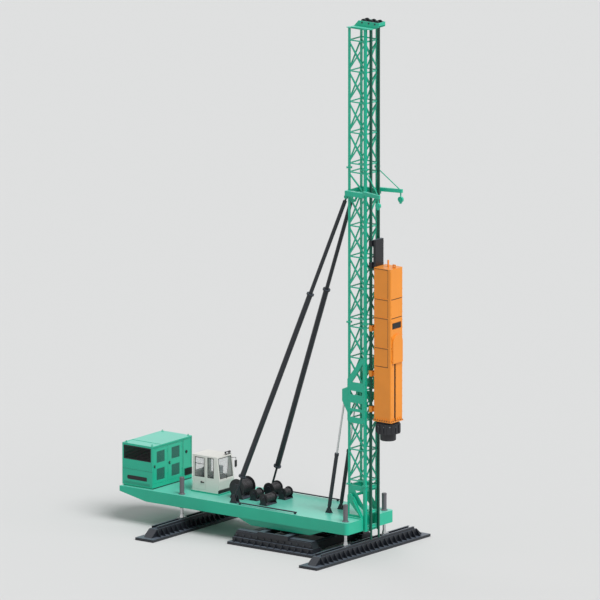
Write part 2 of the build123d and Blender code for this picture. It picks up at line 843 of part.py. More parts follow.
# Mast sections: heights of the joints and of the struts of each section
lower_levels = [base_joint_z + joint_half_gap + n * panel_pitch for n in range(lower_panels + 1)]
joint_low_z = lower_levels[-1] + joint_half_gap
middle_levels = [joint_low_z + joint_half_gap + n * panel_pitch for n in range(middle_panels + 1)]
collar_z = middle_levels[-1]
joint_high_z = collar_z + collar_panel + joint_half_gap
top_levels = [joint_high_z + joint_half_gap + n * panel_pitch for n in range(top_panels + 1)]
mast_top_z = top_levels[-1] + top_end_gap
short_panel = (collar_z, collar_z + collar_panel)

# Each section: name, lower end, upper end, panel levels, extra struts, panels with one diagonal
mast_sections = (
    ("lower", base_joint_z, joint_low_z, lower_levels, [], []),
    ("middle", joint_low_z, joint_high_z, middle_levels, [short_panel[1]], [short_panel]),
    ("top", joint_high_z, mast_top_z, top_levels, [mast_top_z - brace_size / 2], []),
)
for name, low_z, high_z, levels, extra_struts, single_panels in mast_sections:
    with BuildPart() as mast_section:
        for chord_x, chord_size in ((mast_rear_x, rear_chord_size), (mast_front_x, front_chord_size)):
            with BuildSketch(Plane.XY.offset(low_z)):
                with Locations((chord_x, -chord_y), (chord_x, chord_y)):
                    Rectangle(chord_size, chord_size)
            extrude(amount=high_z - low_z)
        for flange_z in (low_z, high_z - joint_flange_thickness):
            with BuildSketch(Plane.XY.offset(flange_z)):
                with Locations(*chord_places):
                    Rectangle(joint_flange_size, joint_flange_size)
            extrude(amount=joint_flange_thickness)

        # The four lattice faces: a strut at each level and crossed diagonals between the levels
        lattice_faces = (
            (Plane.XZ.offset(-chord_y), mast_rear_x, mast_front_x),
            (Plane.XZ.offset(chord_y), mast_rear_x, mast_front_x),
            (Plane.YZ.offset(mast_rear_x), -chord_y, chord_y),
            (Plane.YZ.offset(mast_front_x), -chord_y, chord_y),
        )
        for face_plane, start, end in lattice_faces:
            with BuildSketch(face_plane):
                with Locations(*[((start + end) / 2, z) for z in levels + extra_struts]):
                    Rectangle(end - start, brace_size)
                bars = []
                for panel_low, panel_high in zip(levels, levels[1:]):
                    bars.append((panel_low + brace_end_rise, panel_high - brace_end_rise))
                    bars.append((panel_high - brace_end_rise, panel_low + brace_end_rise))
                for panel_low, panel_high in single_panels:
                    bars.append((panel_high - brace_end_rise, panel_low + brace_end_rise))
                for start_z, end_z in bars:
                    bar_length = hypot(end - start, end_z - start_z)
                    bar_turn = degrees(atan2(end_z - start_z, end - start))
                    with Locations(((start + end) / 2, (start_z + end_z) / 2)):
                        Rectangle(bar_length, brace_size, rotation=bar_turn)
            extrude(amount=brace_size / 2, both=True)

        # Guide tubes with their neck plates, on plates that cross the front face at each strut
        with BuildSketch(Plane.XY.offset(low_z)):
            with Locations(*guide_places):
                Circle(guide_radius)
            with Locations(*neck_places):
                Rectangle(guide_neck_length, guide_neck_width)
        extrude(amount=high_z - low_z)
        for plate_z in levels + extra_struts:
            with BuildSketch(Plane.XY.offset(plate_z - guide_plate_thickness / 2)):
                Polygon(
                    (mast_front_x, -chord_y),
                    (guide_x - guide_neck_length, -guide_y),
                    (guide_x - guide_neck_length, guide_y),
                    (mast_front_x, chord_y),
                )
            extrude(amount=guide_plate_thickness)
    mast_section.part.label = f"mast_section_{name}"
    export_step(mast_section.part, f"parts/mast_section_{name}.step")

# Slotted side plates of the mast with the pins of the erecting cylinders
plate_front_x = mast_front_x + front_chord_size / 2
plate_rear_x = mast_rear_x - rear_chord_size / 2
plate_inner_y = chord_y + front_chord_size / 2
with BuildPart() as mast_side_plates:
    for name, side in sides:
        with BuildSketch(Plane.XZ.offset(-side * (plate_inner_y + side_plate_thickness / 2))):
            Polygon(
                (plate_rear_x, side_plate_low_z + side_plate_corner),
                (mast_rear_x + side_plate_corner, side_plate_low_z),
                (plate_front_x, side_plate_low_z),
                (plate_front_x, side_plate_arm_top_z),
                (plate_front_x - side_plate_arm_width, side_plate_arm_top_z),
                (plate_rear_x, side_plate_high_z + side_plate_corner),
            )
            Polygon(
                (plate_rear_x, erector_top_z - side_plate_lug_half_height),
                (plate_rear_x, erector_top_z + side_plate_lug_half_height),
                (erector_top_x - side_plate_lug_reach, erector_top_z + 2 * side_plate_arm_width),
                (erector_top_x - side_plate_lug_reach, erector_top_z - side_plate_lug_reach),
            )
            Polygon(
                (mast_rear_x + side_plate_arm_width, side_plate_high_z),
                (mast_front_x - side_plate_lug_reach, side_plate_high_z),
                (mast_front_x - side_plate_lug_reach, side_plate_arm_top_z - side_plate_arm_width),
                mode=Mode.SUBTRACT,
            )
            for slot_z, slot_height in side_plate_slots:
                with Locations(((mast_rear_x + mast_front_x) / 2, slot_z)):
                    Rectangle(side_plate_slot_length, slot_height, mode=Mode.SUBTRACT)
        extrude(amount=side_plate_thickness / 2, both=True)
        with BuildSketch(Plane.XZ.offset(-side * plate_inner_y)):
            with Locations((erector_top_x, erector_top_z)):
                Circle(lug_pin_radius)
        extrude(amount=side * (plate_inner_y - erector_y + erector_eye_width / 2 + lug_pin_end))
mast_side_plates.part.label = "mast_side_plates"
export_step(mast_side_plates.part, "parts/mast_side_plates.step")

# Long stays: a rod pinned to the deck, and a tube of two diameters that slides on it
for side_name, side in sides:
    stay_foot = Vector(stay_foot_x, side * stay_foot_y, stay_foot_z)
    stay_top = Vector(stay_top_x, side * stay_top_y, stay_top_z)
    stay_length = (stay_top - stay_foot).length
    along_stay = Plane(origin=stay_foot, x_dir=(0, 1, 0), z_dir=stay_top - stay_foot)
    with BuildPart() as stay_rod:
        with BuildSketch(along_stay):
            Circle(stay_rod_radius)
        extrude(amount=stay_rod_visible + stay_rod_inside)
        with BuildSketch(Plane.XZ.offset(-side * stay_foot_y)):
            with Locations((stay_foot_x, stay_foot_z)):
                Circle(stay_eye_radius)
        extrude(amount=stay_eye_width / 2, both=True)
        with BuildSketch(Plane.XZ.offset(-side * stay_foot_y)):
            with Locations((stay_foot_x, stay_foot_z)):
                Circle(lug_pin_radius + open_pin_clearance)
        extrude(amount=stay_eye_width, both=True, mode=Mode.SUBTRACT)
    stay_rod.part.label = f"stay_rod_{side_name}"
    export_step(stay_rod.part, f"parts/stay_rod_{side_name}.step")

    upper_start = stay_rod_visible + stay_lower_length
    with BuildPart() as stay_tube:
        with BuildSketch(along_stay.offset(stay_rod_visible)):
            Circle(stay_lower_radius)
        extrude(amount=stay_lower_length)
        with BuildSketch(along_stay.offset(upper_start)):
            Circle(stay_upper_radius)
        extrude(amount=stay_length - upper_start - stay_neck_length)
        with BuildSketch(along_stay.offset(stay_length - stay_neck_length)):
            Circle(stay_eye_width / 2)
        extrude(amount=stay_neck_length)
        for flange_start in (stay_rod_visible, upper_start):
            with BuildSketch(along_stay.offset(flange_start)):
                Circle(stay_flange_radius)
            extrude(amount=stay_flange_thickness)
        with BuildSketch(along_stay.offset(stay_rod_visible)):
            Circle(stay_rod_radius + stay_rod_clearance)
        extrude(amount=stay_rod_inside + stay_bore_reserve, mode=Mode.SUBTRACT)
        with BuildSketch(Plane.XZ.offset(-side * stay_top_y)):
            with Locations((stay_top_x, stay_top_z)):
                Circle(stay_eye_radius)
        extrude(amount=stay_eye_width / 2, both=True)
        with BuildSketch(Plane.XZ.offset(-side * stay_top_y)):
            with Locations((stay_top_x, stay_top_z)):
                Circle(lug_pin_radius + lug_pin_clearance)
        extrude(amount=2 * stay_eye_width, both=True, mode=Mode.SUBTRACT)
    stay_tube.part.label = f"stay_tube_{side_name}"
    export_step(stay_tube.part, f"parts/stay_tube_{side_name}.step")

# Erecting cylinders
for side_name, side in sides:
    erector_foot = Vector(erector_foot_x, side * erector_y, erector_foot_z)
    erector_top = Vector(erector_top_x, side * erector_y, erector_top_z)
    erector_length = (erector_top - erector_foot).length
    along_erector = Plane(origin=erector_foot, x_dir=(0, 1, 0), z_dir=erector_top - erector_foot)
    rod_start = erector_barrel_length - erector_rod_inside
    with BuildPart() as erector_barrel:
        with BuildSketch(along_erector.offset(erector_neck_length)):
            Circle(erector_barrel_radius)
        extrude(amount=erector_barrel_length - erector_neck_length)
        with BuildSketch(along_erector):
            Rectangle(erector_eye_width, erector_neck_width)
        extrude(amount=erector_neck_length)
        with BuildSketch(along_erector.offset(erector_barrel_length - erector_head_length)):
            Circle(erector_barrel_radius + erector_head_step)
        extrude(amount=erector_head_length)
        with BuildSketch(along_erector.offset(rod_start - erector_bore_reserve)):
            Circle(erector_rod_radius + erector_rod_clearance)
        extrude(amount=erector_rod_inside + erector_bore_reserve, mode=Mode.SUBTRACT)
        with BuildSketch(Plane.XZ.offset(-side * erector_y)):
            with Locations((erector_foot_x, erector_foot_z)):
                Circle(erector_eye_radius)
        extrude(amount=erector_eye_width / 2, both=True)
        with BuildSketch(Plane.XZ.offset(-side * erector_y)):
            with Locations((erector_foot_x, erector_foot_z)):
                Circle(lug_pin_radius + lug_pin_clearance)
        extrude(amount=2 * erector_eye_width, both=True, mode=Mode.SUBTRACT)
    erector_barrel.part.label = f"erector_barrel_{side_name}"
    export_step(erector_barrel.part, f"parts/erector_barrel_{side_name}.step")

    with BuildPart() as erector_rod:
        with BuildSketch(along_erector.offset(rod_start)):
            Circle(erector_rod_radius)
        extrude(amount=erector_length - rod_start)
        with BuildSketch(Plane.XZ.offset(-side * erector_y)):
            with Locations((erector_top_x, erector_top_z)):
                Circle(erector_eye_radius)
        extrude(amount=erector_eye_width / 2, both=True)
        with BuildSketch(Plane.XZ.offset(-side * erector_y)):
            with Locations((erector_top_x, erector_top_z)):
                Circle(lug_pin_radius + open_pin_clearance)
        extrude(amount=2 * erector_eye_width, both=True, mode=Mode.SUBTRACT)
    erector_rod.part.label = f"erector_rod_{side_name}"
    export_step(erector_rod.part, f"parts/erector_rod_{side_name}.step")

# Stay collar around the mast: beams, rear gusset, clevises of the stays, hoisting arms and ties
collar_low_z = collar_z - collar_drop
collar_rear_x = plate_rear_x - collar_rear_thickness
collar_half_y = plate_inner_y + collar_beam_size
arm_low_z = collar_low_z + arm_rise
stay_ear_y = stay_eye_width / 2 + erector_lug_gap + lug_thickness / 2
with BuildPart() as stay_collar:
    with BuildSketch(Plane.XY.offset(collar_low_z)):
        with Locations((collar_rear_x + collar_rear_thickness / 2, 0)):
            Rectangle(collar_rear_thickness, 2 * collar_half_y)
        for name, side in sides:
            side_beam_y = side * (plate_inner_y + collar_beam_size / 2)
            with Locations(((plate_front_x + collar_rear_x) / 2, side_beam_y)):
                Rectangle(plate_front_x - collar_rear_x, collar_beam_size)
    extrude(amount=collar_beam_height)
    with BuildSketch(Plane.YZ.offset(plate_rear_x - gusset_thickness)):
        Polygon(
            (-chord_y, collar_low_z),
            (chord_y, collar_low_z),
            (gusset_foot_half_width, collar_low_z - gusset_drop),
            (-gusset_foot_half_width, collar_low_z - gusset_drop),
        )
        with Locations((0, collar_low_z - gusset_hole_drop)):
            Circle(gusset_hole_radius, mode=Mode.SUBTRACT)
    extrude(amount=gusset_thickness)
    for name, side in sides:
        with BuildSketch(Plane.XY.offset(arm_low_z)):
            Polygon(
                (mast_front_x, side * plate_inner_y),
                (mast_front_x, side * (plate_inner_y + arm_root_width)),
                (arm_tip_x, side * (arm_y + arm_tip_width / 2)),
                (arm_tip_x, side * (arm_y - arm_tip_width / 2)),
            )
        extrude(amount=arm_height)
        tie_low = Vector(arm_tip_x - arm_tip_width / 2, side * arm_y, arm_low_z + arm_height / 2)
        tie_high = Vector(plate_front_x + arm_tie_size, side * chord_y, arm_tie_top_z)
        with BuildSketch(Plane(origin=tie_low, x_dir=(0, 1, 0), z_dir=tie_high - tie_low)):
            Rectangle(arm_tie_size, arm_tie_size)
        extrude(amount=(tie_high - tie_low).length)
        for ear in (-1, 1):
            with BuildSketch(Plane.XZ.offset(-side * stay_top_y - ear * stay_ear_y)):
                Polygon(
                    (collar_rear_x, collar_low_z),
                    (collar_rear_x, collar_low_z + collar_beam_height),
                    (stay_top_x - stay_eye_radius, stay_top_z),
                    (stay_top_x, stay_top_z - stay_eye_radius),
                )
                with Locations((stay_top_x, stay_top_z)):
                    Circle(stay_eye_radius)
            extrude(amount=lug_thickness / 2, both=True)
        with BuildSketch(Plane.XZ.offset(-side * stay_top_y)):
            with Locations((stay_top_x, stay_top_z)):
                Circle(lug_pin_radius)
        extrude(amount=stay_ear_y + lug_thickness / 2 + lug_pin_end, both=True)
stay_collar.part.label = "stay_collar"
export_step(stay_collar.part, "parts/stay_collar.step")

# Hook blocks that hang under the arm tips
block_x = arm_tip_x - block_setback
block_z = arm_low_z - block_drop
with BuildPart() as hook_blocks:
    for name, side in sides:
        with BuildSketch(Plane.XY.offset(block_z)):
            with Locations((block_x, side * arm_y)):
                Rectangle(block_shank_length, block_shank_width)
        extrude(amount=block_drop)
        with BuildSketch(Plane.XZ.offset(-side * arm_y)):
            with Locations((block_x, block_z)):
                Circle(block_radius)
            with Locations((block_x, block_z - block_radius)):
                Rectangle(block_hook_length, block_hook_height)
        extrude(amount=block_thickness / 2, both=True)
hook_blocks.part.label = "hook_blocks"
export_step(hook_blocks.part, "parts/hook_blocks.step")

# Mast head: plate across the mast top and two cheeks that carry the sheaves
head_low_z = mast_top_z + head_plate_thickness
sheave_z = head_low_z + head_sheave_rise
head_plate_rear_x = mast_rear_x + head_plate_rear_inset
head_plate_front_x = guide_x + guide_radius + head_plate_overhang
with BuildPart() as mast_head:
    with BuildSketch(Plane.XY.offset(mast_top_z)):
        with Locations(((head_plate_rear_x + head_plate_front_x) / 2, 0)):
            Rectangle(head_plate_front_x - head_plate_rear_x, 2 * (chord_y + head_plate_overhang))
    extrude(amount=head_plate_thickness)
    for name, side in sides:
        with BuildSketch(Plane.XZ.offset(-side * head_cheek_y)):
            Polygon(
                (head_plate_rear_x, head_low_z),
                (head_plate_front_x, head_low_z),
                (head_front_x, head_low_z + head_front_low),
                (head_front_x, mast_top_z + head_top_rise),
                (head_plate_rear_x + head_rear_run, mast_top_z + head_top_rise),
            )
            for setback in sheave_setbacks:
                with Locations((head_front_x - setback, sheave_z)):
                    Circle(sheave_axle_radius + drum_axle_clearance, mode=Mode.SUBTRACT)
        extrude(amount=head_plate_thickness / 2, both=True)
    with BuildSketch(Plane.XZ):
        with Locations((head_front_x, sheave_z), (head_plate_rear_x + head_rear_run, head_low_z)):
            Rectangle(head_cross_width / 2, head_cross_height)
    extrude(amount=head_cheek_y, both=True)
mast_head.part.label = "mast_head"
export_step(mast_head.part, "parts/mast_head.step")

# Head sheaves, two on each axle
for place, setback in zip(("front", "middle", "rear"), sheave_setbacks):
    with BuildPart() as head_sheave:
        with BuildSketch(Plane.XZ):
            with Locations((head_front_x - setback, sheave_z)):
                Circle(sheave_axle_radius)
        extrude(amount=head_cheek_y + head_plate_thickness / 2 + lug_pin_end, both=True)
        for name, side in sides:
            with BuildSketch(Plane.XZ.offset(-side * head_cheek_y / 2)):
                with Locations((head_front_x - setback, sheave_z)):
                    Circle(sheave_radius)
            extrude(amount=sheave_thickness / 2, both=True)
    head_sheave.part.label = f"head_sheave_{place}"
    export_step(head_sheave.part, f"parts/head_sheave_{place}.step")

# Hammer housing: box with seams, raised side panels, front cover, base flange and lifting lug
hammer_face_x = hammer_rear_x + hammer_depth
panel_edges = (hammer_low_z,) + hammer_seams + (hammer_high_z,)
cover_top_z = hammer_cover_low_z + hammer_cover_height
with BuildPart() as hammer_housing:
    with BuildSketch(Plane.XY.offset(hammer_low_z)):
        with Locations((hammer_axis_x, 0)):
            Rectangle(hammer_depth, hammer_width)
    extrude(amount=hammer_high_z - hammer_low_z)
    chamfer(hammer_housing.edges().filter_by(Axis.Z), length=hammer_corner / 3)
    with BuildSketch(Plane.YZ.offset(hammer_face_x)):
        with Locations((0, (hammer_cover_low_z + cover_top_z) / 2)):
            Rectangle(hammer_cover_width, hammer_cover_height)
        with Locations((0, cover_top_z)):
            Circle(hammer_cover_width / 2)
    extrude(amount=hammer_cover_depth)
    with BuildSketch(Plane.YZ.offset(hammer_face_x - hammer_seam_depth)):
        with Locations((0, hammer_strip_z + hammer_strip_height / 2)):
            Rectangle(hammer_strip_width, hammer_strip_height)
    extrude(amount=hammer_seam_depth, mode=Mode.SUBTRACT)
    with BuildSketch(Plane.YZ.offset(hammer_face_x - hammer_slot_depth)):
        with Locations((hammer_slot_y, (hammer_low_z + hammer_cover_low_z) / 2)):
            Rectangle(hammer_slot_width, hammer_cover_low_z - hammer_low_z)
    extrude(amount=hammer_slot_depth, mode=Mode.SUBTRACT)
    for seam_z in hammer_seams[1:]:
        with BuildSketch(Plane.YZ.offset(hammer_face_x - hammer_seam_depth)):
            with Locations((0, seam_z)):
                Rectangle(hammer_width, hammer_seam_height)
        extrude(amount=hammer_seam_depth, mode=Mode.SUBTRACT)
    panel_x0 = hammer_rear_x + hammer_panel_margin
    panel_x1 = hammer_face_x - hammer_panel_front_margin
    for name, side in sides:
        with BuildSketch(Plane.XZ.offset(-side * hammer_width / 2)):
            for low_edge, high_edge in list(zip(panel_edges, panel_edges[1:]))[1:]:
                with Locations(((panel_x0 + panel_x1) / 2, (low_edge + high_edge) / 2)):
                    Rectangle(panel_x1 - panel_x0, high_edge - low_edge - hammer_panel_margin)
        extrude(amount=side * hammer_panel_depth, mode=Mode.SUBTRACT)
    with BuildSketch(Plane.XY.offset(hammer_low_z)):
        with Locations((hammer_axis_x, 0)):
            Rectangle(hammer_depth + hammer_flange_reach, hammer_width + hammer_flange_reach)
    extrude(amount=hammer_flange_height)
    with BuildSketch(Plane.XY.offset(hammer_low_z)):
        with Locations((hammer_axis_x, 0)):
            with GridLocations(hammer_rib_pitch, 0, hammer_rib_count, 1):
                Rectangle(hammer_rib_width, hammer_width + hammer_flange_reach)
            with GridLocations(0, hammer_rib_pitch, 1, hammer_rib_count):
                Rectangle(hammer_depth + hammer_flange_reach, hammer_rib_width)
    extrude(amount=hammer_rib_height)
    with BuildSketch(Plane.XY.offset(hammer_high_z)):
        with Locations((hammer_axis_x, 0)):
            Circle(hammer_stub_radius)
    extrude(amount=hammer_stub_height)
    with BuildSketch(Plane.XZ):
        with Locations((hammer_face_x - hammer_lug_setback, hammer_high_z + hammer_lug_height / 2)):
            Rectangle(hammer_lug_height, hammer_lug_height)
            Circle(hammer_lug_hole_radius, mode=Mode.SUBTRACT)
    extrude(amount=hammer_lug_thickness / 2, both=True)
hammer_housing.part.label = "hammer_housing"
export_step(hammer_housing.part, "parts/hammer_housing.step")

# Drive cap: eight-sided ribbed block and the anvil ring below it with its pile socket
helmet_low_z = hammer_low_z - helmet_height
anvil_low_z = helmet_low_z - anvil_height
helmet_rib_low_z = helmet_low_z + (helmet_height - helmet_ring_height - helmet_rib_height) / 2
with BuildPart() as drive_cap:
    with BuildSketch(Plane.XY.offset(helmet_low_z)):
        with Locations((hammer_axis_x, 0)):
            RegularPolygon(helmet_apothem, 8, major_radius=False, rotation=22.5)
    extrude(amount=helmet_height - helmet_ring_height)
    with BuildSketch(Plane.XY.offset(hammer_low_z - helmet_ring_height)):
        with Locations((hammer_axis_x, 0)):
            Circle(helmet_neck_radius)
    extrude(amount=helmet_ring_height)
    with BuildSketch(Plane.XY.offset(helmet_rib_low_z)):
        with Locations((hammer_axis_x, 0)):
            with PolarLocations(helmet_apothem, 8):
                with GridLocations(0, helmet_rib_spacing, 1, 2):
                    Rectangle(helmet_rib_size, helmet_rib_size)
    extrude(amount=helmet_rib_height)
    with BuildSketch(Plane.XY.offset(anvil_low_z)):
        with Locations((hammer_axis_x, 0)):
            Circle(anvil_radius)
    extrude(amount=anvil_height)
    chamfer(drive_cap.edges().group_by(Axis.Z)[0], length=anvil_chamfer)
    with BuildSketch(Plane.XY.offset(anvil_low_z)):
        with Locations((hammer_axis_x, 0)):
            Circle(pile_socket_radius)
    extrude(amount=pile_socket_depth, mode=Mode.SUBTRACT)
drive_cap.part.label = "drive_cap"
export_step(drive_cap.part, "parts/drive_cap.step")

# Guide shoes with their bars: the lower ones on the hammer's spine, the upper ones on the frame
spine_rear_x = hammer_rear_x - slide_wall
shoe_bar_length = spine_rear_x - guide_x - shoe_front + slide_wall
shoe_bar_y = guide_y - slide_wall
frame_mid_x = spine_rear_x + slide_wall - slide_frame_depth / 2
spine_low_z = hammer_low_z + spine_low_rise
with BuildPart() as hammer_shoes:
    with BuildSketch(Plane.YZ.offset(spine_rear_x)):
        with Locations((0, (spine_low_z + slide_frame_low_z) / 2)):
            Rectangle(spine_width, slide_frame_low_z - spine_low_z)
    extrude(amount=slide_wall)
    for shoe_z in lower_shoe_levels:
        for name, side in sides:
            with BuildSketch(Plane.XY.offset(shoe_z - shoe_height / 2)):
                with Locations((guide_x + (shoe_front - shoe_rear) / 2, side * guide_y)):
                    Rectangle(shoe_front + shoe_rear, 2 * shoe_half_width)
                with Locations((guide_x, side * guide_y)):
                    Circle(guide_radius + shoe_clearance, mode=Mode.SUBTRACT)
                with Locations((guide_x - shoe_rear / 2, side * guide_y)):
                    Rectangle(shoe_rear, shoe_slot, mode=Mode.SUBTRACT)
            extrude(amount=shoe_height)
            with BuildSketch(Plane.XY.offset(shoe_z - shoe_bar_height / 2)):
                with Locations((guide_x + shoe_front + shoe_bar_length / 2, side * shoe_bar_y)):
                    Rectangle(shoe_bar_length, 2 * (shoe_half_width - slide_wall))
            extrude(amount=shoe_bar_height)
hammer_shoes.part.label = "hammer_shoes"
export_step(hammer_shoes.part, "parts/hammer_shoes.step")

with BuildPart() as hammer_slide_frame:
    with BuildSketch(Plane.YZ.offset(spine_rear_x)):
        with Locations((0, (slide_frame_low_z + slide_frame_high_z) / 2)):
            Rectangle(slide_frame_width, slide_frame_high_z - slide_frame_low_z)
    extrude(amount=slide_wall)
    for name, side in sides:
        with BuildSketch(Plane.XZ.offset(-side * (slide_frame_width - slide_wall) / 2)):
            with Locations((frame_mid_x, (slide_frame_low_z + slide_frame_high_z) / 2)):
                Rectangle(slide_frame_depth, slide_frame_high_z - slide_frame_low_z)
        extrude(amount=slide_wall / 2, both=True)
    for cross_z in (slide_frame_low_z, slide_frame_high_z - slide_wall):
        with BuildSketch(Plane.XY.offset(cross_z)):
            with Locations((frame_mid_x, 0)):
                Rectangle(slide_frame_depth, slide_frame_width)
        extrude(amount=slide_wall)
    for shoe_z in upper_shoe_levels:
        for name, side in sides:
            with BuildSketch(Plane.XY.offset(shoe_z - shoe_height / 2)):
                with Locations((guide_x + (shoe_front - shoe_rear) / 2, side * guide_y)):
                    Rectangle(shoe_front + shoe_rear, 2 * shoe_half_width)
                with Locations((guide_x, side * guide_y)):
                    Circle(guide_radius + shoe_clearance, mode=Mode.SUBTRACT)
                with Locations((guide_x - shoe_rear / 2, side * guide_y)):
                    Rectangle(shoe_rear, shoe_slot, mode=Mode.SUBTRACT)
            extrude(amount=shoe_height)
            with BuildSketch(Plane.XY.offset(shoe_z - shoe_bar_height / 2)):
                with Locations((guide_x + shoe_front + shoe_bar_length / 2, side * shoe_bar_y)):
                    Rectangle(shoe_bar_length, 2 * (shoe_half_width - slide_wall))
            extrude(amount=shoe_bar_height)
hammer_slide_frame.part.label = "hammer_slide_frame"
export_step(hammer_slide_frame.part, "parts/hammer_slide_frame.step")

# Power pack housing: a hollow cabinet with door, vent, port and radiator openings
pack_rear_x = platform_rear_x + pack_rear_gap
pack_front_x = pack_rear_x + pack_length
pack_right_y = pack_middle_y - pack_width / 2
pack_hinge_x = pack_front_x + hinge_rod_radius + hinge_rod_gap
pack_low_z = deck_z + pack_skid_height
pack_top_z = deck_z + pack_height
pack_mid_x = (pack_rear_x + pack_front_x) / 2
radiator_z = pack_top_z - radiator_top_gap - radiator_height / 2
door_low_z = deck_z + pack_door_sill
door_mid_z = door_low_z + pack_door_height / 2
pack_knuckles = (door_low_z + pack_knuckle_inset, door_low_z + pack_door_height - pack_knuckle_inset)
door_rows = []
for n, door_name in enumerate(("right", "left")):
    door_y0 = pack_right_y + pack_door_side + n * pack_door_pitch
    door_rows.append((door_name, door_y0, door_y0 + pack_door_width))
with BuildPart() as pack_housing:
    with BuildSketch(Plane.XY.offset(deck_z)):
        with Locations((pack_mid_x, pack_middle_y)):
            Rectangle(pack_length - 2 * pack_skid_inset, pack_width - 2 * pack_skid_inset)
    extrude(amount=pack_skid_height)
    with BuildSketch(Plane.XY.offset(pack_low_z)):
        with Locations((pack_mid_x, pack_middle_y)):
            Rectangle(pack_length, pack_width)
    extrude(amount=pack_top_z - pack_low_z)
    with BuildSketch(Plane.XY.offset(pack_low_z + pack_wall)):
        with Locations((pack_mid_x, pack_middle_y)):
            Rectangle(pack_length - 2 * pack_wall, pack_width - 2 * pack_wall)
    extrude(amount=pack_top_z - pack_low_z - 2 * pack_wall, mode=Mode.SUBTRACT)
    with BuildSketch(Plane.XY.offset(pack_top_z - pack_roof_recess_depth)):
        with Locations((pack_mid_x, pack_right_y + pack_roof_rim + pack_roof_recess_width / 2)):
            Rectangle(pack_length - 2 * pack_roof_rim, pack_roof_recess_width)
    extrude(amount=pack_roof_recess_depth, mode=Mode.SUBTRACT)
    with BuildSketch(Plane.YZ.offset(pack_front_x - pack_wall)):
        for door_name, door_y0, door_y1 in door_rows:
            with Locations(((door_y0 + door_y1) / 2, door_mid_z)):
                Rectangle(pack_door_width, pack_door_height)
        with Locations((pack_right_y + vent_middle_y, deck_z + vent_middle_z)):
            Rectangle(vent_length, vent_height)
        with Locations((pack_right_y + port_middle_y, deck_z + port_middle_z)):
            Circle(port_radius)
    extrude(amount=pack_wall, mode=Mode.SUBTRACT)
    for door_name, door_y0, door_y1 in door_rows:
        for knuckle_z in pack_knuckles:
            with BuildSketch(Plane.XY.offset(knuckle_z + hinge_knuckle_length + hinge_rod_gap)):
                with Locations((pack_hinge_x, door_y1)):
                    Circle(hinge_rod_radius)
                with Locations((pack_front_x, door_y1 + hinge_rod_radius)):
                    Rectangle(2 * (pack_hinge_x - pack_front_x), 2 * hinge_rod_radius)
            extrude(amount=hinge_knuckle_length)
    with BuildSketch(Plane.XZ.offset(-pack_right_y - pack_wall)):
        with Locations((pack_mid_x, radiator_z)):
            Rectangle(radiator_width, radiator_height)
    extrude(amount=pack_wall, mode=Mode.SUBTRACT)
    with BuildSketch(Plane.XZ.offset(-pack_right_y - name_recess_depth)):
        with Locations((pack_mid_x, deck_z + name_recess_z)):
            SlotOverall(name_recess_length, name_recess_height)
    extrude(amount=name_recess_depth, mode=Mode.SUBTRACT)
pack_housing.part.label = "power_pack_housing"
export_step(pack_housing.part, "parts/power_pack_housing.step")

# Power pack doors, hinged along their far edges, with slatted panels in their louvre openings
for door_name, door_y0, door_y1 in door_rows:
    inner_y0 = door_y0 + pack_door_gap
    inner_y1 = door_y1 - pack_door_gap
    louvre_y = (door_y0 + door_y1) / 2 + louvre_offset_y
    louvre_places = [(louvre_y, door_mid_z - louvre_offset_z), (louvre_y, door_mid_z + louvre_offset_z)]
    with BuildPart() as pack_door:
        with BuildSketch(Plane.YZ.offset(pack_front_x - pack_door_thickness)):
            with Locations(((inner_y0 + inner_y1) / 2, door_mid_z)):
                Rectangle(inner_y1 - inner_y0, pack_door_height - 2 * pack_door_gap)
            with Locations(*louvre_places):
                Rectangle(louvre_width, louvre_height, mode=Mode.SUBTRACT)
        extrude(amount=pack_door_thickness)
        with BuildSketch(Plane.YZ.offset(pack_front_x)):
            with Locations((inner_y0 + pack_handle_offset, door_mid_z)):
                Circle(pack_handle_radius)
        extrude(amount=pack_handle_reach)
        for knuckle_z in pack_knuckles:
            with BuildSketch(Plane.XY.offset(knuckle_z)):
                with Locations((pack_hinge_x, door_y1)):
                    Circle(hinge_rod_radius)
                with Locations(((pack_front_x + pack_hinge_x) / 2, inner_y1 - hinge_rod_radius)):
                    Rectangle(pack_hinge_x - pack_front_x, 2 * (pack_door_gap + hinge_rod_radius))
            extrude(amount=hinge_knuckle_length)
    pack_door.part.label = f"power_pack_door_{door_name}"
    export_step(pack_door.part, f"parts/power_pack_door_{door_name}.step")

    slat_pitch = louvre_height / louvre_slats
    with BuildPart() as pack_louvres:
        with BuildSketch(Plane.YZ.offset(pack_front_x - louvre_depth)):
            with Locations(*louvre_places):
                Rectangle(louvre_width, louvre_height)
        extrude(amount=louvre_back)
        with BuildSketch(Plane.YZ.offset(pack_front_x - louvre_depth + louvre_back)):
            with Locations(*louvre_places):
                with GridLocations(0, slat_pitch, 1, louvre_slats):
                    Rectangle(louvre_width, slat_pitch * louvre_slat_share)
        extrude(amount=louvre_depth - louvre_back)
    pack_louvres.part.label = f"power_pack_louvres_{door_name}"
    export_step(pack_louvres.part, f"parts/power_pack_louvres_{door_name}.step")

# Radiator grille in the opening of the right face
with BuildPart() as radiator_grille:
    with BuildSketch(Plane.XZ.offset(-pack_right_y - pack_wall)):
        with Locations((pack_mid_x, radiator_z)):
            Rectangle(radiator_width, radiator_height)
            Rectangle(
                radiator_width - 2 * radiator_frame,
                radiator_height - 2 * radiator_frame,
                mode=Mode.SUBTRACT,
            )
            with GridLocations(0, radiator_height / (radiator_slats + 1), 1, radiator_slats):
                Rectangle(radiator_width - radiator_frame, radiator_slat_height)
    extrude(amount=pack_wall)
radiator_grille.part.label = "radiator_grille"
export_step(radiator_grille.part, "parts/radiator_grille.step")

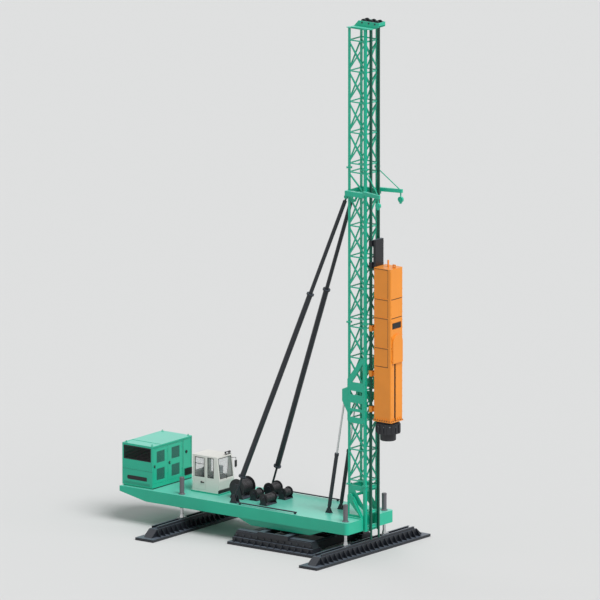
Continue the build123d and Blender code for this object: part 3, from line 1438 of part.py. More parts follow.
# Engine and pump set inside the power pack
with BuildPart() as pack_engine:
    with BuildSketch(Plane.XY.offset(pack_low_z + pack_wall)):
        with Locations((pack_mid_x - engine_rear_offset, 0)):
            Rectangle(engine_size[0], engine_size[1])
    extrude(amount=engine_size[2])
pack_engine.part.label = "power_pack_engine"
export_step(pack_engine.part, "parts/power_pack_engine.step")

# Cab shell: walls and roof, with the windscreen, side, rear and door openings cut
cab_rear_x = leg_front_x - cab_rear_setback
cab_front_x = cab_rear_x + cab_length
cab_mid_x = (cab_rear_x + cab_front_x) / 2
cab_right_y = cab_middle_y - cab_width / 2
cab_left_y = cab_middle_y + cab_width / 2
cab_top_z = cab_low_z + cab_height
cab_sill_z = cab_low_z + cab_sill
cab_outline = (
    (cab_rear_x, cab_low_z),
    (cab_front_x - cab_toe, cab_low_z),
    (cab_front_x, cab_sill_z),
    (cab_front_x - cab_brow, cab_top_z),
    (cab_rear_x, cab_top_z),
)
cab_floor_length = cab_length - cab_toe - 2 * cab_wall
cab_floor_mid_x = cab_rear_x + cab_wall + cab_floor_length / 2
door_x0 = cab_rear_x + cab_door_rear_gap
door_x1 = door_x0 + cab_door_width
door_z0 = cab_low_z + cab_door_sill
window_low_z = cab_low_z + cab_sill + cab_window_rise
window_high_z = cab_top_z - cab_window_head
window_mid_z = (window_low_z + window_high_z) / 2
window_height = window_high_z - window_low_z
rear_window_z = window_mid_z + cab_rear_window_rise / 2
rear_window_height = window_height - cab_rear_window_rise
side_window_x = door_x1 + cab_front_side_window_gap + cab_front_side_window_length / 2
with BuildPart() as cab_shell:
    with BuildSketch(Plane.XZ.offset(-cab_middle_y)):
        Polygon(*cab_outline)
    extrude(amount=cab_width / 2, both=True)
    with BuildSketch(Plane.XZ.offset(-cab_middle_y)):
        offset(Polygon(*cab_outline, mode=Mode.PRIVATE), amount=-cab_wall)
    extrude(amount=cab_width / 2 - cab_wall, both=True, mode=Mode.SUBTRACT)
    with BuildSketch(Plane.XY.offset(cab_low_z)):
        with Locations((cab_floor_mid_x, cab_middle_y)):
            Rectangle(cab_floor_length, cab_width - 2 * cab_wall)
    extrude(amount=cab_wall, mode=Mode.SUBTRACT)
    with BuildSketch(Plane.YZ.offset(cab_front_x - cab_toe - cab_brow)):
        with Locations((cab_middle_y, window_mid_z)):
            Rectangle(cab_width - 2 * cab_pillar, window_height)
    extrude(amount=cab_toe + cab_brow, mode=Mode.SUBTRACT)
    with BuildSketch(Plane.YZ.offset(cab_rear_x)):
        with Locations((cab_middle_y, rear_window_z)):
            Rectangle(cab_rear_window_width, rear_window_height)
    extrude(amount=cab_wall, mode=Mode.SUBTRACT)
    with BuildSketch(Plane.XZ.offset(-cab_left_y)):
        with Locations((cab_mid_x - cab_pillar, window_mid_z)):
            Rectangle(cab_left_window_length, window_height)
    extrude(amount=cab_wall, mode=Mode.SUBTRACT)
    with BuildSketch(Plane.XZ.offset(-cab_right_y - cab_wall)):
        with Locations(((door_x0 + door_x1) / 2, door_z0 + cab_door_height / 2)):
            Rectangle(cab_door_width, cab_door_height)
        with Locations((side_window_x, window_mid_z)):
            Rectangle(cab_front_side_window_length, window_height)
    extrude(amount=cab_wall, mode=Mode.SUBTRACT)
cab_shell.part.label = "cab_shell"
export_step(cab_shell.part, "parts/cab_shell.step")

# Cab floor: a plate between the shell's walls
with BuildPart() as cab_floor:
    with BuildSketch(Plane.XY.offset(cab_low_z)):
        with Locations((cab_floor_mid_x, cab_middle_y)):
            Rectangle(cab_floor_length, cab_width - 2 * cab_wall)
    extrude(amount=cab_wall)
cab_floor.part.label = "cab_floor"
export_step(cab_floor.part, "parts/cab_floor.step")

# Cab glazing: panes that fill the window openings
screen_lean = cab_brow / (cab_height - cab_sill)
screen_low_x = cab_front_x - (window_low_z - cab_sill_z) * screen_lean - cab_wall / 2
screen_high_x = cab_front_x - (window_high_z - cab_sill_z) * screen_lean - cab_wall / 2
with BuildPart() as cab_glazing:
    with BuildSketch(Plane.YZ.offset(cab_rear_x + cab_wall / 2)):
        with Locations((cab_middle_y, rear_window_z)):
            Rectangle(cab_rear_window_width, rear_window_height)
    extrude(amount=cab_glass / 2, both=True)
    with BuildSketch(Plane.XZ.offset(-cab_left_y + cab_wall / 2)):
        with Locations((cab_mid_x - cab_pillar, window_mid_z)):
            Rectangle(cab_left_window_length, window_height)
    extrude(amount=cab_glass / 2, both=True)
    with BuildSketch(Plane.XZ.offset(-cab_right_y - cab_wall / 2)):
        with Locations((side_window_x, window_mid_z)):
            Rectangle(cab_front_side_window_length, window_height)
    extrude(amount=cab_glass / 2, both=True)
    with BuildSketch(Plane.XZ.offset(-cab_middle_y)):
        Polygon(
            (screen_low_x, window_low_z),
            (screen_low_x - cab_glass, window_low_z),
            (screen_high_x - cab_glass, window_high_z),
            (screen_high_x, window_high_z),
        )
    extrude(amount=cab_width / 2 - cab_pillar, both=True)
cab_glazing.part.label = "cab_glazing"
export_step(cab_glazing.part, "parts/cab_glazing.step")

# Cab door with its window opening, its pane and its outside handle
cab_hinge_y = cab_right_y - hinge_rod_radius - hinge_rod_gap
slab_x0 = door_x0 + cab_door_gap
slab_x1 = door_x1 - cab_door_gap
slab_z0 = door_z0 + cab_door_gap
slab_z1 = door_z0 + cab_door_height - cab_door_gap
slab_mid_x = (slab_x0 + slab_x1) / 2
pane_length = cab_door_width - 2 * cab_door_frame
with BuildPart() as cab_door:
    with BuildSketch(Plane.XZ.offset(-cab_right_y - cab_wall)):
        with Locations((slab_mid_x, (slab_z0 + slab_z1) / 2)):
            Rectangle(slab_x1 - slab_x0, slab_z1 - slab_z0)
        with Locations((slab_mid_x, window_mid_z - cab_pillar / 4)):
            Rectangle(pane_length, window_height - cab_pillar / 2, mode=Mode.SUBTRACT)
    extrude(amount=cab_wall)
    with BuildSketch(Plane.XZ.offset(-cab_right_y)):
        with Locations((slab_x1 - cab_handle_length, cab_sill_z - cab_handle_drop)):
            Rectangle(cab_handle_length, cab_handle_height)
    extrude(amount=cab_handle_reach)
    for knuckle_z in (slab_z0 + cab_knuckle_inset, slab_z1 - cab_knuckle_inset):
        with BuildSketch(Plane.XY.offset(knuckle_z)):
            with Locations((door_x0, cab_hinge_y)):
                Circle(hinge_rod_radius)
            with Locations((slab_x0 + hinge_rod_radius, (cab_hinge_y + cab_right_y) / 2)):
                Rectangle(2 * (cab_door_gap + hinge_rod_radius), cab_right_y - cab_hinge_y)
        extrude(amount=hinge_knuckle_length)
cab_door.part.label = "cab_door"
export_step(cab_door.part, "parts/cab_door.step")

with BuildPart() as cab_door_glass:
    with BuildSketch(Plane.XZ.offset(-cab_right_y - cab_wall / 2)):
        with Locations((slab_mid_x, window_mid_z - cab_pillar / 4)):
            Rectangle(pane_length, window_height - cab_pillar / 2)
    extrude(amount=cab_glass / 2, both=True)
cab_door_glass.part.label = "cab_door_glass"
export_step(cab_door_glass.part, "parts/cab_door_glass.step")

# Operator's seat and the control desk in front of it
seat_x = cab_rear_x + seat_setback
floor_z = cab_low_z + cab_wall
cushion_z = floor_z + seat_post_height
with BuildPart() as cab_seat:
    with BuildSketch(Plane.XY.offset(floor_z)):
        with Locations((seat_x, cab_middle_y)):
            Rectangle(seat_post_size, seat_post_size)
    extrude(amount=seat_post_height)
    with BuildSketch(Plane.XZ.offset(-cab_middle_y)):
        Polygon(
            (seat_x - seat_half_length, cushion_z),
            (seat_x + seat_half_length, cushion_z),
            (seat_x + seat_half_length, cushion_z + seat_cushion),
            (seat_x - seat_half_length + seat_back_thickness, cushion_z + seat_cushion),
            (seat_x - seat_half_length, floor_z + seat_back_height),
            (seat_x - seat_half_length - seat_back_thickness, floor_z + seat_back_height),
        )
    extrude(amount=seat_half_width, both=True)
cab_seat.part.label = "cab_seat"
export_step(cab_seat.part, "parts/cab_seat.step")

with BuildPart() as cab_desk:
    with BuildSketch(Plane.XZ.offset(-cab_middle_y)):
        Polygon(
            (cab_front_x - desk_reach, floor_z),
            (cab_front_x - desk_front_gap, floor_z),
            (cab_front_x - desk_front_gap + seat_back_thickness, floor_z + desk_low_height),
            (cab_front_x - desk_reach, floor_z + desk_high_height),
        )
    extrude(amount=desk_half_width, both=True)
cab_desk.part.label = "cab_desk"
export_step(cab_desk.part, "parts/cab_desk.step")

# Winch frames: two bearing plates on a floor plate for each winch
with BuildPart() as winch_frames:
    for name, setback, middle_y, flange_radius, drum_length in winches:
        winch_x = leg_front_x - setback
        axle_z = deck_z + flange_radius + drum_floor_gap
        foot_half = winch_foot_share * flange_radius
        head_half = winch_head_share * flange_radius
        for plate in (-1, 1):
            plate_y = middle_y + plate * (drum_length / 2 + drum_side_gap + winch_plate_thickness / 2)
            with BuildSketch(Plane.XZ.offset(-plate_y)):
                Polygon(
                    (winch_x - foot_half, deck_z),
                    (winch_x + foot_half, deck_z),
                    (winch_x + head_half, axle_z),
                    (winch_x + head_half / 2, axle_z + head_half),
                    (winch_x - head_half / 2, axle_z + head_half),
                    (winch_x - head_half, axle_z),
                )
                with Locations((winch_x, axle_z)):
                    Circle(drum_axle_radius + drum_axle_clearance, mode=Mode.SUBTRACT)
            extrude(amount=winch_plate_thickness / 2, both=True)
        with BuildSketch(Plane.XY.offset(deck_z)):
            with Locations((winch_x, middle_y)):
                Rectangle(2 * foot_half, drum_length + 2 * (drum_side_gap + winch_plate_thickness))
        extrude(amount=drum_floor_gap / 2)
winch_frames.part.label = "winch_frames"
export_step(winch_frames.part, "parts/winch_frames.step")

# Winch drums with their flanges, turning on their own axles
for name, setback, middle_y, flange_radius, drum_length in winches:
    winch_x = leg_front_x - setback
    axle_z = deck_z + flange_radius + drum_floor_gap
    with BuildPart() as winch_drum:
        with BuildSketch(Plane.XZ.offset(-middle_y)):
            with Locations((winch_x, axle_z)):
                Circle(drum_core_share * flange_radius)
        extrude(amount=drum_length / 2, both=True)
        for end in (-1, 1):
            flange_y = middle_y + end * (drum_length - drum_flange_thickness) / 2
            with BuildSketch(Plane.XZ.offset(-flange_y)):
                with Locations((winch_x, axle_z)):
                    Circle(flange_radius)
            extrude(amount=drum_flange_thickness / 2, both=True)
        with BuildSketch(Plane.XZ.offset(-middle_y)):
            with Locations((winch_x, axle_z)):
                Circle(drum_axle_radius)
        extrude(amount=drum_length / 2 + drum_side_gap + winch_plate_thickness + drum_axle_end, both=True)
    winch_drum.part.label = f"winch_drum_{name}"
    export_step(winch_drum.part, f"parts/winch_drum_{name}.step")
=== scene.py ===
import json
import math
import bmesh
import bpy
from bpy.props import FloatProperty, FloatVectorProperty, IntProperty, PointerProperty
from mathutils import Matrix, Vector
from mathutils.bvhtree import BVHTree


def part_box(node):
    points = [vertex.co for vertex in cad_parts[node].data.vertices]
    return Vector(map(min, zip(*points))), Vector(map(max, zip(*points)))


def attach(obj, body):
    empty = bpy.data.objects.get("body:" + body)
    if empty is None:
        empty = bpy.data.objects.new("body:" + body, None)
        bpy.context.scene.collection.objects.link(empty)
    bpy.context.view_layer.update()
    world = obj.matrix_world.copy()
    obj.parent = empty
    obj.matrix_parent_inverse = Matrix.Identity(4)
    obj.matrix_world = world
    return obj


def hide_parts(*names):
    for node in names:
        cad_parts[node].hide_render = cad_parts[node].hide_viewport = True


bl_info = {
    "name": "Walking pile driving rig",
    "version": (1, 0, 0),
    "blender": (4, 5, 0),
    "location": "3D View > Sidebar > Pile rig",
    "description": "Paints the rig's solids and adds its bolts, ropes, lamps and cab trim",
    "category": "Object",
}

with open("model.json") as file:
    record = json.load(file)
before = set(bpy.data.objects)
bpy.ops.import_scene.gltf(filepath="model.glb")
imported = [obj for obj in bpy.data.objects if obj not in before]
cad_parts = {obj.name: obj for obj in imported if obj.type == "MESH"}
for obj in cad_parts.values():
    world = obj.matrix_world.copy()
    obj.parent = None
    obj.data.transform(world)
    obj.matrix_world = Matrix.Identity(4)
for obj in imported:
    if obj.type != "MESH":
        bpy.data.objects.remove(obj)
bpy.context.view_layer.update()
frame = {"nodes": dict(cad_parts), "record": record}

ROUND_SIDES = 24
SMALL_SIDES = 12
UP, DOWN = (0, 0, 1), (0, 0, -1)
CORNERS = [(a, b) for a in (-1, 1) for b in (-1, 1)]
# Finishes of added pieces, each with its slot
TRIM = "moulded_abs", "trim_dark"
RUBBER = "window_rubber", "trim_dark"
GREEN = "green_enamel", "green_paint"
ORANGE = "orange_enamel", "orange_paint"
LOUVRE = "louvre_enamel", "louvre_teal"

MAST_PARTS = ("mast_base", "mast_section_lower", "mast_section_middle", "mast_section_top")
# Middle of the mast's hinge pin, along X and Z
MAST_HINGE = (5.25, 2.80)
# Pins of the long stays and the erecting cylinders, as in the part's source, right side
STAY_FOOT = Vector((-1.0, -1.48, 2.08))
STAY_TOP = Vector((4.76, -0.25, 17.33))
ERECTOR_FOOT = Vector((3.88, -0.48, 1.95))
ERECTOR_TOP = Vector((4.82, -0.48, 7.5))
SIDES = (("right", 1), ("left", -1))
DRUMS = ("main", "rear_left", "rear_right", "front_right", "front_left")
LEG_RADIUS = 0.115
# The hammer's housing and the cover in front of it, front to rear
HAMMER_DEPTH = 1.02
HAMMER_COVER_DEPTH = 0.08
HAMMER_HEIGHT = 7.5
# Levels of the seams between the hammer's panels, and of the hinges of its cover
HAMMER_SEAMS = (9.31, 10.29, 11.75, 12.67)
COVER_HINGES = (9.70, 10.24, 10.78)
# The cab's windows, and the windscreen that leans back above a level
WINDOW_SILL, WINDOW_HEAD = 2.55, 3.54
SCREEN_FOOT, SCREEN_LEAN = 2.44, 0.15
RUBBER_PROUD = 0.006


def linear_colour(hex_code):
    """sRGB hex to the linear RGBA that a shader socket takes."""
    channels = [int(hex_code[n:n + 2], 16) / 255 for n in (1, 3, 5)]
    return [c / 12.92 if c <= 0.04045 else ((c + 0.055) / 1.055) ** 2.4 for c in channels] + [1.0]


class RigStageSettings(bpy.types.PropertyGroup):
    """Where the camera stands and how the studio is lit."""
    azimuth: FloatProperty(
        name="Azimuth", description="Camera's turn about the rig, 0 looks along +Y",
        default=math.radians(36.87), subtype="ANGLE")
    elevation: FloatProperty(
        name="Elevation", description="How steeply the camera looks down",
        default=math.radians(12.6), subtype="ANGLE")
    distance: FloatProperty(
        name="Distance", description="From the camera to the middle of the picture",
        default=1300.0, min=50.0, unit="LENGTH")
    view_width: FloatProperty(
        name="View width", description="Width of the picture at the rig",
        default=28.64, min=1.0, unit="LENGTH")
    target_height: FloatProperty(
        name="Target height", description="Height of the picture's middle above the ground",
        default=12.357, unit="LENGTH")
    target_back: FloatProperty(
        name="Target distance behind the front legs",
        description="Along the picture's width from the leg line", default=3.103, unit="LENGTH")
    floor_size: FloatProperty(
        name="Floor size", description="Length of the floor's sides", default=900.0, unit="LENGTH")
    key_strength: FloatProperty(
        name="Key light", description="Strength of the main sun", default=2.9, min=0.0)
    fill_strength: FloatProperty(
        name="Sky light", description="Strength of the even light", default=0.38, min=0.0)


class RigPaintSettings(bpy.types.PropertyGroup):
    """Paint colours of the rig."""
    green: FloatVectorProperty(
        name="Green", description="Enamel of platform, mast and power pack",
        size=4, subtype="COLOR", default=linear_colour("#1DB795"))
    louvre: FloatVectorProperty(
        name="Louvre green", description="Darker enamel of the power pack's louvres",
        size=4, subtype="COLOR", default=linear_colour("#1C6F61"))
    orange: FloatVectorProperty(
        name="Orange", description="Enamel of the hammer",
        size=4, subtype="COLOR", default=linear_colour("#F2942A"))
    slate: FloatVectorProperty(
        name="Slate", description="Enamel of pads, stays and cylinders",
        size=4, subtype="COLOR", default=linear_colour("#1E2229"))
    grey: FloatVectorProperty(
        name="Grey", description="Enamel of the leg barrels",
        size=4, subtype="COLOR", default=linear_colour("#67646A"))
    cab: FloatVectorProperty(
        name="Cab", description="Enamel of the cab",
        size=4, subtype="COLOR", default=linear_colour("#E4E4DE"))


class RigFastenerSettings(bpy.types.PropertyGroup):
    """Sizes of the bolts."""
    flange_bolt: FloatProperty(
        name="Flange bolts", description="Across the flats, on mast flanges and soles",
        default=0.036, min=0.005, unit="LENGTH")
    panel_bolt: FloatProperty(
        name="Panel bolts", description="Across the flats, on panels and covers",
        default=0.024, min=0.005, unit="LENGTH")
    head_share: FloatProperty(
        name="Head height", description="Share of the size across the flats",
        default=0.62, min=0.1, max=1.5, subtype="FACTOR")


class RigRopeSettings(bpy.types.PropertyGroup):
    """The wire rope wound on the winch drums."""
    diameter: FloatProperty(
        name="Rope diameter", description="Of the wound wire rope",
        default=0.026, min=0.008, unit="LENGTH")
    core_share: FloatProperty(
        name="Core share", description="Core radius as a share of the flange radius",
        default=0.7, min=0.2, max=0.9, subtype="FACTOR")
    points_per_turn: IntProperty(
        name="Points per turn", description="Segments in one turn of rope", default=28, min=8)


class RigTrimSettings(bpy.types.PropertyGroup):
    """Sizes of the power pack's and the cab's trim."""
    gasket_width: FloatProperty(
        name="Gasket width", description="Face width of the window rubbers",
        default=0.028, min=0.005, unit="LENGTH")
    slat_pitch: FloatProperty(
        name="Slat pitch", description="Distance from vent slat to vent slat",
        default=0.045, min=0.01, unit="LENGTH")
    lamp_size: FloatProperty(
        name="Lamp size", description="Width of a work lamp", default=0.17, min=0.05, unit="LENGTH")


def add_node(tree, kind, props=(), values=(), links=()):
    """Adds a node, sets its properties and socket values, and links its inputs. A link starts at
    a socket, or at a node's first output."""
    made = tree.nodes.new(kind)
    for name, value in dict(props).items():
        setattr(made, name, value)
    for socket, value in dict(values).items():
        made.inputs[socket].default_value = value
    for socket, source in dict(links).items():
        start = source.outputs[0] if isinstance(source, bpy.types.Node) else source
        tree.links.new(start, made.inputs[socket])
    return made


def new_material(name):
    """An empty node material, its tree, and the link that lays a texture on the object."""
    made = bpy.data.materials.new(name)
    made.use_nodes = True
    made.node_tree.nodes.clear()
    coords = add_node(made.node_tree, "ShaderNodeTexCoord")
    return made, made.node_tree, {"Vector": coords.outputs["Object"]}


def surfaced(made, height, colours, roughness, relief=None, values=()):
    """Ends a material. Colours and roughness hold one value, or two that blend with the height,
    and relief holds the bump's strength and distance."""
    tree = made.node_tree
    values, links = dict(values), {}
    if relief:
        links["Normal"] = add_node(
            tree, "ShaderNodeBump", values={"Strength": relief[0], "Distance": relief[1]},
            links={"Height": height})
    if len(colours) == 1:
        values["Base Color"] = colours[0]
    else:
        tint = add_node(
            tree, "ShaderNodeMix", {"data_type": "RGBA"}, {6: colours[0], 7: colours[1]},
            {0: height})
        links["Base Color"] = tint.outputs[2]
    if len(roughness) == 1:
        values["Roughness"] = roughness[0]
    else:
        links["Roughness"] = add_node(
            tree, "ShaderNodeMapRange", values={"To Min": roughness[0], "To Max": roughness[1]},
            links={"Value": height})
    shader = add_node(tree, "ShaderNodeBsdfPrincipled", values=values, links=links)
    add_node(tree, "ShaderNodeOutputMaterial", links={"Surface": shader})
    return made


def enamel(name, colour, roughness, shade=0.12, top_dirt_and_light="#8C877E", top_dirt_and_light_share=0.1, dark_from=None):
    """Sprayed two-part enamel on plate steel: an even colour with faint clouding and orange peel.
    Faces that look up carry another colour that breaks up in specks: grey-beige dirt by default,
    and painted light on tops where a pale tint of the enamel is given.
    Past dark_from along X it is much darker, at 0.17 of its colour."""
    made, tree, here = new_material(name)
    dark, light, darkened = (
        [min(1.0, c * share) for c in colour[:3]] + [1.0]
        for share in (1 - shade, 1 + shade / 2, 0.17))
    clouds = add_node(tree, "ShaderNodeTexNoise", values={"Scale": 0.9, "Detail": 4.0}, links=here)
    tint = add_node(
        tree, "ShaderNodeMix", {"data_type": "RGBA"}, {6: dark, 7: light}, {0: clouds})
    way = add_node(tree, "ShaderNodeNewGeometry")
    level = add_node(tree, "ShaderNodeSeparateXYZ", links={0: way.outputs["True Normal"]})
    specks = add_node(tree, "ShaderNodeTexNoise", values={"Scale": 7.0, "Detail": 6.0}, links=here)
    patchy = add_node(
        tree, "ShaderNodeMapRange", values={"To Min": top_dirt_and_light_share * 0.8, "To Max": top_dirt_and_light_share * 1.2},
        links={"Value": specks})
    lying = add_node(
        tree, "ShaderNodeMapRange", values={"From Min": 0.75, "From Max": 0.98},
        links={"Value": level.outputs["Z"]})
    # Up-facing faces take the top colour in specks: grey-beige dirt by default, painted light on
    # tops when a paler tint is given
    top_dirt_and_light_mask = add_node(
        tree, "ShaderNodeMath", {"operation": "MULTIPLY"}, links={0: patchy, 1: lying})
    coat = add_node(
        tree, "ShaderNodeMix", {"data_type": "RGBA"}, {7: linear_colour(top_dirt_and_light)},
        {0: top_dirt_and_light_mask, 6: tint.outputs[2]})
    # Past dark_from along X the colour drops to 0.17 of the enamel's
    if dark_from is not None:
        axes = add_node(tree, "ShaderNodeSeparateXYZ", links=here)
        past = add_node(
            tree, "ShaderNodeMath", {"operation": "GREATER_THAN"}, {1: dark_from}, {0: axes})
        coat = add_node(
            tree, "ShaderNodeMix", {"data_type": "RGBA"}, {7: darkened},
            {0: past, 6: coat.outputs[2]})
    # Orange peel has bumps of about 7 mm; real ones of 2 mm are too fine to show
    peel = add_node(tree, "ShaderNodeTexNoise", values={"Scale": 140.0, "Detail": 2.0}, links=here)
    bump = add_node(
        tree, "ShaderNodeBump", values={"Strength": 0.12, "Distance": 0.002},
        links={"Height": peel})
    dull = add_node(
        tree, "ShaderNodeMapRange",
        values={"To Min": roughness - 0.05, "To Max": roughness + 0.08}, links={"Value": specks})
    shader = add_node(
        tree, "ShaderNodeBsdfPrincipled", values={"IOR": 1.5},
        links={"Base Color": coat.outputs[2], "Normal": bump, "Roughness": dull})
    add_node(tree, "ShaderNodeOutputMaterial", links={"Surface": shader})
    return made


def bright_metal(name, hex_code, roughness, grain):
    """Ground or plated steel: metallic, with fine marks whose size is one over grain, in metres."""
    made, tree, here = new_material(name)
    marks = add_node(
        tree, "ShaderNodeTexNoise", values={"Scale": grain, "Detail": 3.0}, links=here)
    return surfaced(
        made, marks, [linear_colour(hex_code)], (roughness * 0.8, roughness * 1.3), (0.05, 0.001),
        {"Metallic": 1.0})


def moulded(name, hex_code, roughness, grain, relief=0.3):
    """Moulded rubber, ABS or cast iron: dark, dull and evenly pebbled."""
    made, tree, here = new_material(name)
    pebbles = add_node(tree, "ShaderNodeTexVoronoi", values={"Scale": grain}, links=here)
    base = linear_colour(hex_code)
    worn = [c * 1.5 for c in base[:3]] + [1.0]
    return surfaced(made, pebbles, (base, worn), [roughness], (relief, 0.002), {"IOR": 1.5})


def stranded_rope(name):
    """Greased steel wire rope: near black, with the strands' lay as slanted ridges 30 mm apart,
    coarser than real ones so that they show."""
    made, tree, here = new_material(name)
    lay = add_node(
        tree, "ShaderNodeTexWave", {"bands_direction": "DIAGONAL"},
        {"Scale": 10.0, "Distortion": 0.4}, here)
    ends = linear_colour("#17161A"), linear_colour("#3A383C")
    return surfaced(made, lay.outputs["Fac"], ends, [0.45], (0.5, 0.004), {"IOR": 1.5})


def safety_glass(name):
    """Clear laminated glass with a grey tint: smooth and mostly see-through."""
    made, tree, here = new_material(name)
    streaks = add_node(tree, "ShaderNodeTexNoise", values={"Scale": 3.0, "Detail": 2.0}, links=here)
    return surfaced(
        made, streaks, [linear_colour("#C4CFCF")], (0.02, 0.10), values={"IOR": 1.5, "Alpha": 0.12})


def woven_cloth(name):
    """Dark seat cloth: a plain weave 8 mm apart, coarser than real so that it shows, and a soft
    sheen."""
    made, tree, here = new_material(name)
    across, along = (
        add_node(tree, "ShaderNodeTexWave", {"bands_direction": way}, {"Scale": 20.0}, here)
        for way in "YX")
    weave = add_node(
        tree, "ShaderNodeMath", {"operation": "MULTIPLY"},
        links={0: across.outputs["Fac"], 1: along.outputs["Fac"]})
    ends = linear_colour("#141517"), linear_colour("#2B2D31")
    return surfaced(made, weave, ends, [0.85], (0.4, 0.002), {"Sheen Weight": 0.3})


def finish_named(name):
    """A finish that the paint step has made."""
    made = bpy.data.materials.get(name)
    if made is None:
        raise RuntimeError(f"the paint step has not made {name}")
    return made


def paint(node_names, material):
    """Gives CAD nodes a material in every slot."""
    for name in node_names:
        solid = frame["nodes"][name]
        solid.data.materials.clear()
        solid.data.materials.append(material)


def slot_nodes(slot_name):
    """Names of the record's nodes that take their finish from a slot."""
    rows = frame["record"]["subparts"]
    return [row["node"] for row in rows if row["material_slot"] == slot_name]


def stations(start, end, count):
    """Evenly spaced numbers, both ends included."""
    return [start + (end - start) * n / (count - 1) for n in range(count)]


def inset_corners(low, high, inset):
    """The X and Y of a box's four upright edges, moved in from its sides."""
    return [
        (x, y) for x in (low.x + inset, high.x - inset) for y in (low.y + inset, high.y - inset)]


def circle(count, first=0):
    """Cosine and sine of evenly spaced angles, from a first one in degrees."""
    angles = [math.radians(first + 360 * n / count) for n in range(count)]
    return [(math.cos(angle), math.sin(angle)) for angle in angles]


def in_scene(name, data):
    """A new object in the scene."""
    made = bpy.data.objects.new(name, data)
    bpy.context.scene.collection.objects.link(made)
    return made


def blocks(shape, rows, origin=(0, 0, 0)):
    """Adds boxes. A row is the low corner's x, y and z and then the high corner's, from the
    origin."""
    for row in rows:
        low, high = Vector(origin) + Vector(row[:3]), Vector(origin) + Vector(row[3:])
        place = Matrix.Translation((low + high) / 2) @ Matrix.Diagonal((*(high - low), 1.0))
        bmesh.ops.create_cube(shape, size=1.0, matrix=place)


def bar(shape, start, end, radius, sides=SMALL_SIDES, end_radius=None):
    """Adds a round bar or a cone between two points."""
    start, end = Vector(start), Vector(end)
    along = end - start
    turned = along.to_track_quat("Z", "Y").to_matrix().to_4x4()
    bmesh.ops.create_cone(
        shape, cap_ends=True, segments=sides, radius1=radius, radius2=end_radius or radius,
        depth=along.length, matrix=Matrix.Translation((start + end) / 2) @ turned)


def ring(shape, centre, axis, profile, sides=ROUND_SIDES):
    """Turns a closed profile of (radius, height) pairs about an axis through a point."""
    turn = Vector(axis).to_track_quat("Z", "Y").to_matrix()
    rows = []
    for cosine, sine in circle(sides):
        flat = [Vector((r * cosine, r * sine, h)) for r, h in profile]
        rows.append([shape.verts.new(Vector(centre) + turn @ p) for p in flat])
    count = len(profile)
    for this, following in zip(rows, rows[1:] + rows[:1]):
        for k in range(count):
            m = (k + 1) % count
            shape.faces.new((this[k], following[k], following[m], this[m]))


def window_rubber(shape, corner, across, up, width, proud):
    """Adds a frame of four mitred strips round an opening with the given corner and edges."""
    corner, across, up = Vector(corner), Vector(across), Vector(up)
    out = across.cross(up).normalized() * proud
    a, b = across.normalized() * width, up.normalized() * width
    outer = [corner, corner + across, corner + across + up, corner + up]
    inner = [outer[0] + a + b, outer[1] - a + b, outer[2] - a - b, outer[3] + a - b]
    for n in range(4):
        m = (n + 1) % 4
        foot = [outer[n], outer[m], inner[m], inner[n]]
        low = [shape.verts.new(p) for p in foot]
        high = [shape.verts.new(p + out) for p in foot]
        shape.faces.new(low[::-1])
        shape.faces.new(high)
        for k in range(4):
            j = (k + 1) % 4
            shape.faces.new((low[k], low[j], high[j], high[k]))


def finish_piece(name, shape, body, finish, slot_name, edge=0.0, smooth=False):
    """Turns a shape into a piece with broken edges that rides on a body."""
    bmesh.ops.recalc_face_normals(shape, faces=shape.faces)
    mesh = bpy.data.meshes.new(name)
    shape.to_mesh(mesh)
    shape.free()
    mesh.materials.append(finish_named(finish))
    if smooth:
        mesh.shade_smooth()
    made = in_scene(name, mesh)
    if edge:
        broken = made.modifiers.new("broken_edges", "BEVEL")
        broken.width = edge
        broken.segments = 2
        broken.limit_method = "ANGLE"
        broken.angle_limit = math.radians(40)
    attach(made, body)
    return made


def box_piece(name, body, finish, slot_name, edge, rows):
    """A piece of boxes, in rows as for blocks."""
    shape = bmesh.new()
    blocks(shape, rows)
    return finish_piece(name, shape, body, finish, slot_name, edge)


def frozen(name, mesh, tree, inputs, body, finish):
    """Runs a geometry tree on a mesh and keeps the result as a plain piece."""
    carrier = in_scene(name + "_carrier", mesh)
    grower = carrier.modifiers.new("grow", "NODES")
    grower.node_group = tree
    sockets = {
        item.name: item.identifier for item in tree.interface.items_tree if item.in_out == "INPUT"}
    for label, value in {**inputs, "Finish": finish_named(finish)}.items():
        grower[sockets[label]] = value
    carrier.update_tag()
    bpy.context.view_layer.update()
    evaluated = carrier.evaluated_get(bpy.context.evaluated_depsgraph_get())
    grown = bpy.data.meshes.new_from_object(evaluated)
    if not grown.polygons:
        raise RuntimeError(f"{name} came out empty")
    carrier.modifiers.remove(grower)
    bpy.data.objects.remove(carrier)
    grown.name = name
    made = in_scene(name, grown)
    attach(made, body)
    return made


def new_tree(name, inputs):
    """A geometry tree and its input node, from rows of label, kind, default and subtype. Every
    tree also takes its finish."""
    tree = bpy.data.node_groups.new(name, "GeometryNodeTree")
    for label, kind, default, subtype in (*inputs, ("Finish", "Material", None, None)):
        made = tree.interface.new_socket(
            label, in_out="INPUT", socket_type="NodeSocket" + kind)
        if default is not None:
            made.default_value = default
        if subtype:
            made.subtype = subtype
    tree.interface.new_socket("Geometry", in_out="OUTPUT", socket_type="NodeSocketGeometry")
    return tree, add_node(tree, "NodeGroupInput")


def finish_tree(tree, given, grown):
    """Makes what a tree has grown real, paints it and gives it out."""
    real = add_node(tree, "GeometryNodeRealizeInstances", links={0: grown})
    painted = add_node(
        tree, "GeometryNodeSetMaterial",
        links={"Geometry": real, "Material": given.outputs["Finish"]})
    add_node(tree, "NodeGroupOutput", links={0: painted})
    return tree


